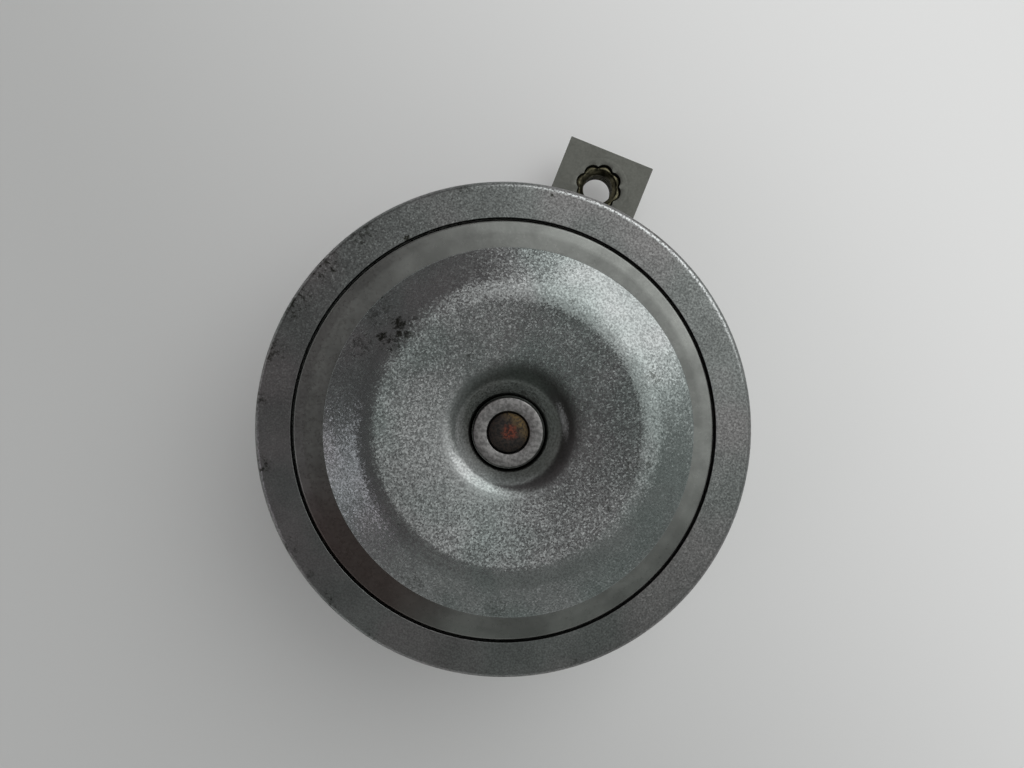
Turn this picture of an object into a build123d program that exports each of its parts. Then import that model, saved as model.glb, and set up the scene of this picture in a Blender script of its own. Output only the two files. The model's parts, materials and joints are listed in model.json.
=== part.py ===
"""Electromagnetic disc horn with its mounting bracket.

Frame: origin on the horn's axis, in the flat outer face of the rear bolt's head.
+Z points out of the front, along the horn's axis, and the bracket leaves along +Y.
All lengths are in millimetres.
"""
import os
from math import atan2, cos, hypot, radians, tan

from build123d import *

# ---------------------------------------------------------------- driving dimensions
# Rear fastening, from the bolt's head up to the housing's floor.
bolt_head_height = 5.3
bolt_head_flats = 13.0
bolt_head_chamfer = 0.8
bolt_thread_radius = 4.0
bolt_engagement = 9.0
bolt_end_chamfer = 0.8
spring_washer_thickness = 2.0
spring_washer_radius = 7.0
spring_washer_slit = 1.0
spring_washer_slit_slant = 25.0
plain_washer_thickness = 1.6
plain_washer_radius = 8.4
bolt_hole_clearance = 0.3
thread_clearance = 0.05

# Bracket and the clinch nut pressed into its far end.
bracket_thickness = 3.0
bracket_width = 20.0
bracket_corner_radius = 0.5
bracket_edge_break = 0.25
nut_distance = 57.5
nut_setback = 8.4
nut_body_radius = 7.0
nut_body_height = 5.5
nut_body_chamfer = 0.8
nut_thread_radius = 3.32
nut_lobe_reach = 5.0
nut_lobe_radius = 1.9
nut_lobe_count = 8
nut_face_recess = 0.35
swage_ring_radius = 6.5
swage_ring_width = 0.5
swage_ring_depth = 0.12
nut_mouth_radius = 4.3
nut_mouth_depth = 1.0
nut_tail_chamfer = 0.6
clinch_clearance = 0.03

# Housing: a stepped pan drawn from sheet. The cup holds the coil, the pan the contacts.
housing_sheet = 1.2
cup_draft = 0.6
cup_corner_radius = 3.4
cup_depth = 15.3
ledge_inner_bend = 0.8
ledge_width = 12.3
ledge_setback = 4.1
ledge_outer_bend = 3.0
pan_depth = 10.0
flange_bend = 2.0
flange_clearance = 0.3

# Clamp ring: a sheet ring rolled down over the edge and crimped under the flange.
ring_sheet = 1.2
ring_radius = 48.0
ring_face_width = 7.25
ring_roll_radius = 1.9
ring_crimp_bend = 1.4
ring_lip_width = 4.2
pan_clearance = 2.2

# Gaskets and diaphragm, clamped between the flange and the ring.
gasket_thickness = 0.5
gasket_width = 4.0
gasket_edge_gap = 0.1
diaphragm_sheet = 0.4
diaphragm_edge_gap = 0.4
groove_width = 0.75
diaphragm_shoulder_height = 1.9
diaphragm_shoulder_slope = 0.25
diaphragm_shoulder_bend = 0.9
diaphragm_rim_bend = 0.4
diaphragm_land_radius = 11.0
diaphragm_land_drop = 1.2
diaphragm_cone_width = 7.0
diaphragm_cone_bend = 4.0

# Vibrating set: armature, pusher, washers, spacer and tone disc on one stud.
# The set stands a little off the housing's axis.
set_offset_x = 0.95
set_offset_y = 0.38
stud_radius = 3.25
stud_clearance = 0.1
stud_peened_radius = 3.85
stud_peened_height = 1.2
stud_dome_height = 0.8
armature_radius = 8.2
armature_length = 9.0
armature_chamfer = 0.4
air_gap = 0.9
spigot_radius = 5.0
pusher_radius = 12.5
pusher_thickness = 1.6
pusher_bore_clearance = 0.1
armature_washer_radius = 8.0
armature_washer_thickness = 2.0
spacer_radius = 7.0
spacer_height = 2.1
front_washer_radius = 6.6
front_washer_thickness = 1.4
front_washer_edge_radius = 0.3

# Tone disc: a dished steel disc with a coined pocket for the washer in its sunk middle.
# Heights are above the flat of the middle.
disc_sheet = 1.6
disc_pocket_radius = 7.75
disc_pocket_depth = 0.9
disc_pocket_bend = 0.8
disc_funnel_radius = 11.0
disc_funnel_height = 3.2
disc_funnel_bend = 7.5
disc_crest_radius = 26.4
disc_crest_height = 4.9
disc_crest_bend = 9.5
disc_radius = 34.5
disc_edge_height = 1.9

# Pole core, coil and field plate.
core_overlap = 1.3
core_chamfer = 0.4
core_blind_depth = 1.4
bobbin_clearance = 0.2
bobbin_wall = 1.2
bobbin_edge_gap = 0.3
winding_setback = 2.4
field_plate_thickness = 2.0
field_plate_edge_gap = 0.65
field_plate_bore_gap = 0.4
field_rivet_count = 3
field_rivet_start = 60.0
field_rivet_radius = 1.5
field_rivet_head_radius = 2.6
field_rivet_head_height = 1.1
rivet_clearance = 0.05

# Contact breaker, on the -Y side of the armature.
pusher_gap = 0.3
leaf_thickness = 0.4
leaf_root_width = 8.0
leaf_tip_width = 5.5
leaf_tip_gap = 1.6
contact_radius = 1.75
contact_height = 0.8
contact_shank_radius = 0.9
contact_tail_radius = 1.4
contact_tail_height = 0.3
arm_tip_clearance = 1.7
arm_thickness = 1.0
arm_width = 7.0
arm_tip_overhang = 2.2
stack_length = 8.0
stack_gap = 3.5
stack_width = 9.0
stack_rivet_spacing = 4.2
stack_boss_radius = 1.9
stack_boss_clearance = 0.1
top_insulator_thickness = 0.8
contact_rivet_radius = 1.15
contact_rivet_head_radius = 2.0
contact_rivet_head_height = 0.7
contact_rivet_sink = 0.9

# Contact adjuster, through the ledge and the field plate.
adjuster_radius = 2.0
adjuster_nut_flats = 7.0
adjuster_nut_height = 3.5
adjuster_pilot_radius = 2.9
adjuster_plate_clearance = 0.4
adjuster_free_thread = 2.2
adjuster_head_radius = 3.5
adjuster_head_height = 2.4
adjuster_slot_width = 1.0
adjuster_slot_depth = 1.2
arm_tail_overhang = 2.6

# Terminals, under the ledge. Their own axes point outwards and around the horn.
terminal_angle = 225.0
terminal_base_gap = 1.0
terminal_base_length = 10.0
terminal_base_width = 24.0
terminal_base_height = 5.0
terminal_base_corner = 1.5
terminal_barrier_width = 2.0
terminal_barrier_height = 4.0
terminal_spacing = 13.0
terminal_rivet_radius = 1.2
terminal_rivet_head_radius = 2.3
terminal_rivet_head_height = 0.9
terminal_boss_radius = 2.2
terminal_boss_clearance = 0.1
blade_thickness = 0.8
blade_width = 6.3
blade_inset = 0.6
blade_length = 17.4
blade_tip_chamfer = 1.2
blade_hole_radius = 0.9
blade_hole_setback = 3.4
inner_insulator_thickness = 1.2
inner_insulator_length = 7.4
inner_insulator_edge_gap = 0.3
inner_insulator_width = 19.0
field_plate_chord_gap = 0.5

# ---------------------------------------------------------------- heights along the axis
spring_washer_level = bolt_head_height
plain_washer_level = spring_washer_level + spring_washer_thickness
bracket_level = plain_washer_level + plain_washer_thickness
floor_level = bracket_level + bracket_thickness
floor_top = floor_level + housing_sheet
ledge_top = floor_top + cup_depth
ledge_level = ledge_top - housing_sheet
flange_top = ledge_top + pan_depth
flange_level = flange_top - housing_sheet
ring_lip_level = flange_level - ring_sheet
rim_level = flange_top + gasket_thickness
rim_top = rim_level + diaphragm_sheet
ring_under = rim_top + gasket_thickness
ring_top = ring_under + ring_sheet
plateau_top = rim_top + diaphragm_shoulder_height
land_top = plateau_top - diaphragm_land_drop
land_level = land_top - diaphragm_sheet
seat_level = land_top + spacer_height
disc_middle_top = seat_level + disc_sheet
seat_top = disc_middle_top - disc_pocket_depth
front_washer_top = seat_top + front_washer_thickness
armature_washer_level = land_level - armature_washer_thickness
pusher_level = armature_washer_level - pusher_thickness
armature_level = pusher_level - armature_length
core_top = armature_level - air_gap
field_plate_top = ledge_top + field_plate_thickness
leaf_top = pusher_level - pusher_gap
leaf_level = leaf_top - leaf_thickness
arm_level = leaf_top + 2 * contact_height
arm_top = arm_level + arm_thickness
stack_top = arm_top + top_insulator_thickness
terminal_base_level = ledge_level - terminal_base_height
blade_level = terminal_base_level - blade_thickness
inner_insulator_top = ledge_top + inner_insulator_thickness

# ---------------------------------------------------------------- radii and distances
bracket_reach = nut_distance + nut_setback
bolt_hole_radius = bolt_thread_radius + bolt_hole_clearance
flange_radius = ring_radius - ring_sheet - flange_clearance
pan_radius = ring_radius - ring_lip_width - pan_clearance
ledge_radius = pan_radius - ledge_setback
cup_radius = ledge_radius - ledge_width
ring_opening_radius = ring_radius - ring_face_width
gasket_radius = ring_radius - ring_roll_radius - gasket_edge_gap
diaphragm_radius = ring_radius - ring_sheet - diaphragm_edge_gap
diaphragm_shoulder_radius = ring_opening_radius - groove_width
stud_hole_radius = stud_radius + stud_clearance
set_offset = hypot(set_offset_x, set_offset_y)
core_radius = armature_radius + core_overlap
bobbin_bore_radius = core_radius + bobbin_clearance
bobbin_tube_radius = bobbin_bore_radius + bobbin_wall
bobbin_flange_radius = cup_radius - cup_draft - cup_corner_radius - bobbin_edge_gap
winding_radius = bobbin_flange_radius - winding_setback

# The flat of the ledge lies between its two bends. What is riveted to it sits half way.
pan_slope = atan2(pan_depth, pan_radius - ledge_radius)
ledge_flat_inner = cup_radius + ledge_inner_bend
ledge_flat_outer = ledge_radius - ledge_outer_bend * tan(pan_slope / 2)
ledge_middle = (ledge_flat_inner + ledge_flat_outer) / 2
field_plate_radius = ledge_flat_outer - field_plate_edge_gap
field_plate_bore_radius = armature_radius + set_offset + field_plate_bore_gap
terminal_base_inner = ledge_flat_inner + terminal_base_gap
terminal_base_middle = terminal_base_inner + terminal_base_length / 2
field_plate_chord = ledge_middle - inner_insulator_length / 2 - field_plate_chord_gap

# The breaker is laid out along -Y, outwards from the pusher.
leaf_tip_y = set_offset_y - armature_radius - leaf_tip_gap
arm_tip_y = set_offset_y - pusher_radius - arm_tip_clearance
contact_y = arm_tip_y - arm_tip_overhang
stack_front_y = contact_y - stack_gap
stack_back_y = stack_front_y - stack_length
stack_middle_y = stack_front_y - stack_length / 2
arm_tail_y = -ledge_middle - arm_tail_overhang

# ---------------------------------------------------------------- shared planes and places
set_plane = Plane((set_offset_x, set_offset_y, 0), x_dir=(1, 0, 0), z_dir=(0, -1, 0))
set_axis = Axis((set_offset_x, set_offset_y, 0), (0, 0, 1))
terminal_plane = Plane.XY.rotated((0, 0, terminal_angle))
contact_plane = Plane((0, contact_y, 0), x_dir=(1, 0, 0), z_dir=(0, -1, 0))
contact_axis = Axis((0, contact_y, 0), (0, 0, 1))
nut_plane = Plane((0, nut_distance, 0), x_dir=(1, 0, 0), z_dir=(0, -1, 0))
nut_axis = Axis((0, nut_distance, 0), (0, 0, 1))
stack_rivet_places = [(0, stack_middle_y + step * stack_rivet_spacing / 2) for step in (-1, 1)]
adjuster_place = (0, -ledge_middle)
terminal_rivet_places = [(ledge_middle, side * terminal_spacing / 2) for side in (-1, 1)]


# ---------------------------------------------------------------- shared shapes
def pressed_section(points, bends, thickness, side):
    """Half section of a pressed sheet: one face as (radius, height) points with a bend at each
    corner, and the other face parallel to it, one sheet thickness away on the given side."""
    with BuildSketch() as section:
        with BuildLine():
            FilletPolyline(*points, radius=bends)
            offset(amount=thickness, side=side)
        make_face()
    return section.sketch


def turned_ring(inner_radius, outer_radius, level, top):
    """Half section of a plain ring, as (radius, height)."""
    with BuildSketch() as section:
        with BuildLine():
            Polyline(
                (inner_radius, level),
                (outer_radius, level),
                (outer_radius, top),
                (inner_radius, top),
                close=True,
            )
        make_face()
    return section.sketch


def domed_rivet(shank_radius, head_radius, head_height, level, top):
    """Rivet along Z with a domed head outside each end of its grip, from level to top."""
    with BuildPart() as rivet:
        with BuildSketch(Plane.XZ):
            with BuildLine():
                TangentArc((0, level - head_height), (head_radius, level), tangent=(1, 0))
                Line((head_radius, level), (shank_radius, level))
                Line((shank_radius, level), (shank_radius, top))
                Line((shank_radius, top), (head_radius, top))
                TangentArc((0, top + head_height), (head_radius, top), tangent=(1, 0))
                Line((0, top + head_height), (0, level - head_height))
            make_face()
        revolve(axis=Axis.Z)
    return rivet.part


def flush_rivet(shank_radius, head_radius, head_height, sink, level, top):
    """Rivet along Z with a domed head above top and a countersunk tail, flush at level."""
    with BuildPart() as rivet:
        with BuildSketch(Plane.XZ):
            with BuildLine():
                Line((0, level), (head_radius, level))
                Line((head_radius, level), (shank_radius, level + sink))
                Line((shank_radius, level + sink), (shank_radius, top))
                Line((shank_radius, top), (head_radius, top))
                TangentArc((0, top + head_height), (head_radius, top), tangent=(1, 0))
                Line((0, top + head_height), (0, level))
            make_face()
        revolve(axis=Axis.Z)
    return rivet.part


def lobed_outline(reach, lobe_radius, count):
    """Round outline with outward lobes that meet in cusps, as on a clinch nut's shank."""
    with BuildSketch() as outline:
        Circle(reach - lobe_radius)
        with PolarLocations(reach - lobe_radius, count):
            Circle(lobe_radius)
    return outline.sketch


# ---------------------------------------------------------------- rear fastening
# Hexagon bolt, screwed through the bracket and the floor into the pole core.
with BuildPart() as rear_bolt:
    with BuildSketch():
        RegularPolygon(bolt_head_flats / 2, 6, major_radius=False)
    extrude(amount=bolt_head_height)
    head_corner_radius = bolt_head_flats / 2 / cos(radians(30))
    with BuildSketch(Plane.XZ):
        with BuildLine():
            Polyline(
                (0, 0),
                (head_corner_radius - 2 * bolt_head_chamfer, 0),
                (head_corner_radius, bolt_head_chamfer),
                (head_corner_radius, bolt_head_height),
                (0, bolt_head_height),
                close=True,
            )
        make_face()
    revolve(axis=Axis.Z, mode=Mode.INTERSECT)
    with BuildSketch(Plane.XY.offset(bolt_head_height)):
        Circle(bolt_thread_radius)
    extrude(amount=floor_top + bolt_engagement - bolt_head_height)
    chamfer(rear_bolt.edges().sort_by(Axis.Z)[-1], bolt_end_chamfer)

# Split spring washer.
with BuildPart() as spring_washer:
    with BuildSketch(Plane.XY.offset(spring_washer_level)):
        Circle(spring_washer_radius)
        Circle(bolt_hole_radius, mode=Mode.SUBTRACT)
    extrude(amount=spring_washer_thickness)
    slit_place = Location(
        (0, -spring_washer_radius, spring_washer_level + spring_washer_thickness / 2),
        (0, spring_washer_slit_slant, 0),
    )
    with Locations(slit_place):
        Box(
            spring_washer_slit,
            2 * (spring_washer_radius - bolt_hole_radius) + bolt_hole_radius,
            4 * spring_washer_thickness,
            mode=Mode.SUBTRACT,
        )

with BuildPart() as plain_washer:
    with BuildSketch(Plane.XY.offset(plain_washer_level)):
        Circle(plain_washer_radius)
        Circle(bolt_hole_radius, mode=Mode.SUBTRACT)
    extrude(amount=plain_washer_thickness)

# ---------------------------------------------------------------- bracket
# Flat strip: round behind the horn, square at its far end.
with BuildPart() as bracket:
    with BuildSketch(Plane.XY.offset(bracket_level)) as strip:
        Circle(bracket_width / 2)
        with Locations((0, bracket_reach / 2)):
            Rectangle(bracket_width, bracket_reach)
        fillet(strip.vertices().group_by(Axis.Y)[-1], bracket_corner_radius)
        Circle(bolt_hole_radius, mode=Mode.SUBTRACT)
    extrude(amount=bracket_thickness)
    chamfer(bracket.faces().sort_by(Axis.Z)[-1].outer_wire().edges(), bracket_edge_break)
    with BuildSketch(Plane.XY.offset(bracket_level)):
        with Locations((0, nut_distance)):
            add(
                lobed_outline(
                    nut_lobe_reach + clinch_clearance, nut_lobe_radius + clinch_clearance, nut_lobe_count
                )
            )
    extrude(amount=bracket_thickness, mode=Mode.SUBTRACT)
    # Shallow ring that the press leaves round the nut.
    with BuildSketch(Plane.XY.offset(floor_level - swage_ring_depth)):
        with Locations((0, nut_distance)):
            Circle(swage_ring_radius + swage_ring_width)
            Circle(swage_ring_radius, mode=Mode.SUBTRACT)
    extrude(amount=swage_ring_depth, mode=Mode.SUBTRACT)

# Clinch nut: a round body behind the strip and a lobed shank pressed into it.
with BuildPart() as clinch_nut:
    with BuildSketch(Plane.XY.offset(bracket_level - nut_body_height)):
        with Locations((0, nut_distance)):
            Circle(nut_body_radius)
    extrude(amount=nut_body_height)
    chamfer(clinch_nut.edges().group_by(Axis.Z)[0], nut_body_chamfer)
    with BuildSketch(Plane.XY.offset(bracket_level)):
        with Locations((0, nut_distance)):
            add(lobed_outline(nut_lobe_reach, nut_lobe_radius, nut_lobe_count))
    nut_face_level = floor_level - nut_face_recess
    extrude(amount=nut_face_level - bracket_level)
    with BuildSketch(nut_plane):
        nut_tail_level = bracket_level - nut_body_height
        with BuildLine():
            Polyline(
                (0, nut_tail_level),
                (nut_thread_radius + nut_tail_chamfer, nut_tail_level),
                (nut_thread_radius, nut_tail_level + nut_tail_chamfer),
                (nut_thread_radius, nut_face_level - nut_mouth_depth),
                (nut_mouth_radius, nut_face_level),
                (0, nut_face_level),
                close=True,
            )
        make_face()
    revolve(axis=nut_axis, mode=Mode.SUBTRACT)

# ---------------------------------------------------------------- housing
housing_line = [
    (bolt_hole_radius, floor_level),
    (cup_radius - cup_draft, floor_level),
    (cup_radius, ledge_level),
    (ledge_radius, ledge_level),
    (pan_radius, flange_level),
    (flange_radius, flange_level),
]
housing_bends = [cup_corner_radius, ledge_inner_bend, ledge_outer_bend, flange_bend]

with BuildPart() as housing:
    with BuildSketch(Plane.XZ):
        add(pressed_section(housing_line, housing_bends, housing_sheet, Side.LEFT))
    revolve(axis=Axis.Z)
    with BuildSketch(Plane.XY.offset(ledge_level)):
        with PolarLocations(ledge_middle, field_rivet_count, field_rivet_start):
            Circle(field_rivet_radius + rivet_clearance)
        with Locations(adjuster_place):
            Circle(adjuster_pilot_radius + rivet_clearance)
    extrude(amount=housing_sheet, mode=Mode.SUBTRACT)
    with BuildSketch(terminal_plane.offset(ledge_level)):
        with Locations(terminal_rivet_places):
            Circle(terminal_boss_radius + terminal_boss_clearance)
    extrude(amount=housing_sheet, mode=Mode.SUBTRACT)

# ---------------------------------------------------------------- clamped edge
with BuildPart() as rear_gasket:
    with BuildSketch(Plane.XY.offset(flange_top)):
        Circle(gasket_radius)
        Circle(gasket_radius - gasket_width, mode=Mode.SUBTRACT)
    extrude(amount=gasket_thickness)

with BuildPart() as front_gasket:
    with BuildSketch(Plane.XY.offset(rim_top)):
        Circle(gasket_radius)
        Circle(gasket_radius - gasket_width, mode=Mode.SUBTRACT)
    extrude(amount=gasket_thickness)

# Diaphragm: flat rim, raised plateau, and a dished land in the middle for the stud.
diaphragm_line = [
    (0, land_top),
    (diaphragm_land_radius, land_top),
    (diaphragm_land_radius + diaphragm_cone_width, plateau_top),
    (diaphragm_shoulder_radius, plateau_top),
    (diaphragm_shoulder_radius + diaphragm_shoulder_slope, rim_top),
    (diaphragm_radius, rim_top),
]
diaphragm_bends = [
    diaphragm_cone_bend,
    diaphragm_cone_bend,
    diaphragm_shoulder_bend,
    diaphragm_rim_bend,
]

with BuildPart() as diaphragm:
    with BuildSketch(Plane.XZ):
        add(pressed_section(diaphragm_line, diaphragm_bends, diaphragm_sheet, Side.RIGHT))
    revolve(axis=Axis.Z)
    with BuildSketch(Plane.XY.offset(land_level)):
        with Locations((set_offset_x, set_offset_y)):
            Circle(stud_hole_radius)
    extrude(amount=diaphragm_sheet, mode=Mode.SUBTRACT)

ring_line = [
    (ring_opening_radius, ring_top),
    (ring_radius, ring_top),
    (ring_radius, ring_lip_level),
    (ring_radius - ring_lip_width, ring_lip_level),
]

with BuildPart() as clamp_ring:
    with BuildSketch(Plane.XZ):
        add(pressed_section(ring_line, [ring_roll_radius, ring_crimp_bend], ring_sheet, Side.RIGHT))
    revolve(axis=Axis.Z)

# ---------------------------------------------------------------- vibrating set
# Armature: a slug that the core pulls, a spigot, and a stud peened over at the front.
with BuildPart() as armature:
    with BuildSketch(set_plane):
        with BuildLine():
            Polyline(
                (0, armature_level),
                (armature_radius - armature_chamfer, armature_level),
                (armature_radius, armature_level + armature_chamfer),
                (armature_radius, pusher_level),
                (spigot_radius, pusher_level),
                (spigot_radius, armature_washer_level),
                (stud_radius, armature_washer_level),
                (stud_radius, seat_top),
                (stud_peened_radius, seat_top + stud_peened_height),
            )
            TangentArc(
                (0, seat_top + stud_peened_height + stud_dome_height),
                (stud_peened_radius, seat_top + stud_peened_height),
                tangent=(1, 0),
            )
            Line((0, seat_top + stud_peened_height + stud_dome_height), (0, armature_level))
        make_face()
    revolve(axis=set_axis)

# Insulating ring that pushes the contact spring down as the armature is pulled in.
with BuildPart() as breaker_pusher:
    with BuildSketch(set_plane):
        add(
            turned_ring(
                spigot_radius + pusher_bore_clearance, pusher_radius, pusher_level, armature_washer_level
            )
        )
    revolve(axis=set_axis)

with BuildPart() as armature_washer:
    with BuildSketch(set_plane):
        add(turned_ring(stud_hole_radius, armature_washer_radius, armature_washer_level, land_level))
    revolve(axis=set_axis)

with BuildPart() as disc_spacer:
    with BuildSketch(set_plane):
        add(turned_ring(stud_hole_radius, spacer_radius, land_top, seat_level))
    revolve(axis=set_axis)

# Tone disc: sunk middle, funnel, shallow dish up to a soft crest, and a drooping edge.
disc_line = [
    (stud_hole_radius, disc_middle_top),
    (disc_pocket_radius, disc_middle_top),
    (disc_funnel_radius, disc_middle_top + disc_funnel_height),
    (disc_crest_radius, disc_middle_top + disc_crest_height),
    (disc_radius, disc_middle_top + disc_edge_height),
]

with BuildPart() as tone_disc:
    with BuildSketch(set_plane):
        add(
            pressed_section(
                disc_line, [disc_pocket_bend, disc_funnel_bend, disc_crest_bend], disc_sheet, Side.RIGHT
            )
        )
    revolve(axis=set_axis)
    with BuildSketch(Plane.XY.offset(seat_top)):
        with Locations((set_offset_x, set_offset_y)):
            Circle(disc_pocket_radius)
    extrude(amount=disc_funnel_height, mode=Mode.SUBTRACT)

# Washer under the peened end, with a countersunk hole and a soft outer edge.
with BuildPart() as front_washer:
    with BuildSketch(set_plane):
        with BuildLine():
            peened_slope = (stud_peened_radius - stud_radius) / stud_peened_height
            Line((stud_hole_radius, seat_top), (front_washer_radius, seat_top))
            Line(
                (front_washer_radius, seat_top),
                (front_washer_radius, front_washer_top - front_washer_edge_radius),
            )
            RadiusArc(
                (front_washer_radius, front_washer_top - front_washer_edge_radius),
                (front_washer_radius - front_washer_edge_radius, front_washer_top),
                -front_washer_edge_radius,
            )
            Line(
                (front_washer_radius - front_washer_edge_radius, front_washer_top),
                (stud_hole_radius + peened_slope * front_washer_thickness, front_washer_top),
            )
            Line(
                (stud_hole_radius + peened_slope * front_washer_thickness, front_washer_top),
                (stud_hole_radius, seat_top),
            )
        make_face()
    revolve(axis=set_axis)

# ---------------------------------------------------------------- magnet
with BuildPart() as pole_core:
    with BuildSketch(Plane.XY.offset(floor_top)):
        Circle(core_radius)
    extrude(amount=core_top - floor_top)
    chamfer(pole_core.edges().group_by(Axis.Z)[-1], core_chamfer)
    with BuildSketch(Plane.XY.offset(floor_top)):
        Circle(bolt_thread_radius + thread_clearance)
    extrude(amount=bolt_engagement + core_blind_depth, mode=Mode.SUBTRACT)

with BuildPart() as coil_bobbin:
    with BuildSketch(Plane.XZ):
        with BuildLine():
            Polyline(
                (bobbin_bore_radius, floor_top),
                (bobbin_flange_radius, floor_top),
                (bobbin_flange_radius, floor_top + bobbin_wall),
                (bobbin_tube_radius, floor_top + bobbin_wall),
                (bobbin_tube_radius, ledge_top - bobbin_wall),
                (bobbin_flange_radius, ledge_top - bobbin_wall),
                (bobbin_flange_radius, ledge_top),
                (bobbin_bore_radius, ledge_top),
                close=True,
            )
        make_face()
    revolve(axis=Axis.Z)

with BuildPart() as coil_winding:
    with BuildSketch(Plane.XZ):
        add(
            turned_ring(
                bobbin_tube_radius, winding_radius, floor_top + bobbin_wall, ledge_top - bobbin_wall
            )
        )
    revolve(axis=Axis.Z)

# Field plate: closes the magnet's circuit and carries the contacts. One side is cut
# straight to clear the terminals.
contact_rivet_hole = flush_rivet(
    contact_rivet_radius + rivet_clearance,
    contact_rivet_head_radius + rivet_clearance,
    contact_rivet_head_height,
    contact_rivet_sink,
    ledge_top,
    stack_top,
)

with BuildPart() as field_plate:
    with BuildSketch(Plane.XY.offset(ledge_top)):
        Circle(field_plate_radius)
        Circle(field_plate_bore_radius, mode=Mode.SUBTRACT)
        with PolarLocations(ledge_middle, field_rivet_count, field_rivet_start):
            Circle(field_rivet_radius + rivet_clearance, mode=Mode.SUBTRACT)
        with Locations(adjuster_place):
            Circle(adjuster_radius + adjuster_plate_clearance, mode=Mode.SUBTRACT)
    extrude(amount=field_plate_thickness)
    with BuildSketch(terminal_plane.offset(ledge_top)):
        with Locations((field_plate_chord + field_plate_radius / 2, 0)):
            Rectangle(field_plate_radius, 2 * field_plate_radius)
    extrude(amount=field_plate_thickness, mode=Mode.SUBTRACT)
    with Locations(stack_rivet_places):
        add(contact_rivet_hole, mode=Mode.SUBTRACT)

field_rivet = domed_rivet(
    field_rivet_radius, field_rivet_head_radius, field_rivet_head_height, ledge_level, field_plate_top
)

with BuildPart() as field_plate_rivets:
    with PolarLocations(ledge_middle, field_rivet_count, field_rivet_start):
        add(field_rivet)

# ---------------------------------------------------------------- contact breaker
# Lower insulator: a block with two bushes that keep the rivets off the live pieces.
with BuildPart() as contact_insulator_lower:
    with BuildSketch(Plane.XY.offset(field_plate_top)):
        with Locations((0, stack_middle_y)):
            Rectangle(stack_width, stack_length)
    extrude(amount=leaf_level - field_plate_top)
    with BuildSketch(Plane.XY.offset(leaf_level)):
        with Locations(stack_rivet_places):
            Circle(stack_boss_radius)
    extrude(amount=arm_top - leaf_level)
    with BuildSketch(Plane.XY.offset(field_plate_top)):
        with Locations(stack_rivet_places):
            Circle(contact_rivet_radius + rivet_clearance)
    extrude(amount=arm_top - field_plate_top, mode=Mode.SUBTRACT)

with BuildPart() as contact_spring:
    with BuildSketch(Plane.XY.offset(leaf_level)) as leaf:
        with BuildLine():
            Polyline(
                (-leaf_root_width / 2, stack_back_y),
                (leaf_root_width / 2, stack_back_y),
                (leaf_root_width / 2, stack_front_y),
                (leaf_tip_width / 2, leaf_tip_y),
                (-leaf_tip_width / 2, leaf_tip_y),
                (-leaf_root_width / 2, stack_front_y),
                close=True,
            )
        make_face()
        fillet(leaf.vertices().group_by(Axis.Y)[-1], leaf_tip_width / 4)
        with Locations(stack_rivet_places):
            Circle(stack_boss_radius + stack_boss_clearance, mode=Mode.SUBTRACT)
        with Locations((0, contact_y)):
            Circle(contact_shank_radius + rivet_clearance, mode=Mode.SUBTRACT)
    extrude(amount=leaf_thickness)

with BuildPart() as contact_insulator_middle:
    with BuildSketch(Plane.XY.offset(leaf_top)):
        with Locations((0, stack_middle_y)):
            Rectangle(stack_width, stack_length)
        with Locations(stack_rivet_places):
            Circle(stack_boss_radius + stack_boss_clearance, mode=Mode.SUBTRACT)
    extrude(amount=arm_level - leaf_top)

with BuildPart() as fixed_contact_arm:
    with BuildSketch(Plane.XY.offset(arm_level)) as arm:
        with Locations((0, (arm_tip_y + arm_tail_y) / 2)):
            Rectangle(arm_width, arm_tip_y - arm_tail_y)
        fillet(arm.vertices(), arm_width / 4)
        with Locations(stack_rivet_places):
            Circle(stack_boss_radius + stack_boss_clearance, mode=Mode.SUBTRACT)
        with Locations((0, contact_y)):
            Circle(contact_shank_radius + rivet_clearance, mode=Mode.SUBTRACT)
    extrude(amount=arm_thickness)

with BuildPart() as contact_insulator_upper:
    with BuildSketch(Plane.XY.offset(arm_top)):
        with Locations((0, stack_middle_y)):
            Rectangle(stack_width, stack_length)
        with Locations(stack_rivet_places):
            Circle(contact_rivet_radius + rivet_clearance, mode=Mode.SUBTRACT)
    extrude(amount=top_insulator_thickness)

# Contacts: silver buttons, each with a shank headed over behind its strip.
with BuildPart() as moving_contact:
    with BuildSketch(contact_plane):
        with BuildLine():
            Polyline(
                (0, leaf_top + contact_height),
                (contact_radius, leaf_top + contact_height),
                (contact_radius, leaf_top),
                (contact_shank_radius, leaf_top),
                (contact_shank_radius, leaf_level),
                (contact_tail_radius, leaf_level),
                (contact_tail_radius, leaf_level - contact_tail_height),
                (0, leaf_level - contact_tail_height),
                close=True,
            )
        make_face()
    revolve(axis=contact_axis)

with BuildPart() as fixed_contact:
    with BuildSketch(contact_plane):
        with BuildLine():
            Polyline(
                (0, arm_level - contact_height),
                (contact_radius, arm_level - contact_height),
                (contact_radius, arm_level),
                (contact_shank_radius, arm_level),
                (contact_shank_radius, arm_top),
                (contact_tail_radius, arm_top),
                (contact_tail_radius, arm_top + contact_tail_height),
                (0, arm_top + contact_tail_height),
                close=True,
            )
        make_face()
    revolve(axis=contact_axis)

contact_rivet = flush_rivet(
    contact_rivet_radius,
    contact_rivet_head_radius,
    contact_rivet_head_height,
    contact_rivet_sink,
    ledge_top,
    stack_top,
)

with BuildPart() as contact_rivets:
    with Locations(stack_rivet_places):
        add(contact_rivet)

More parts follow.
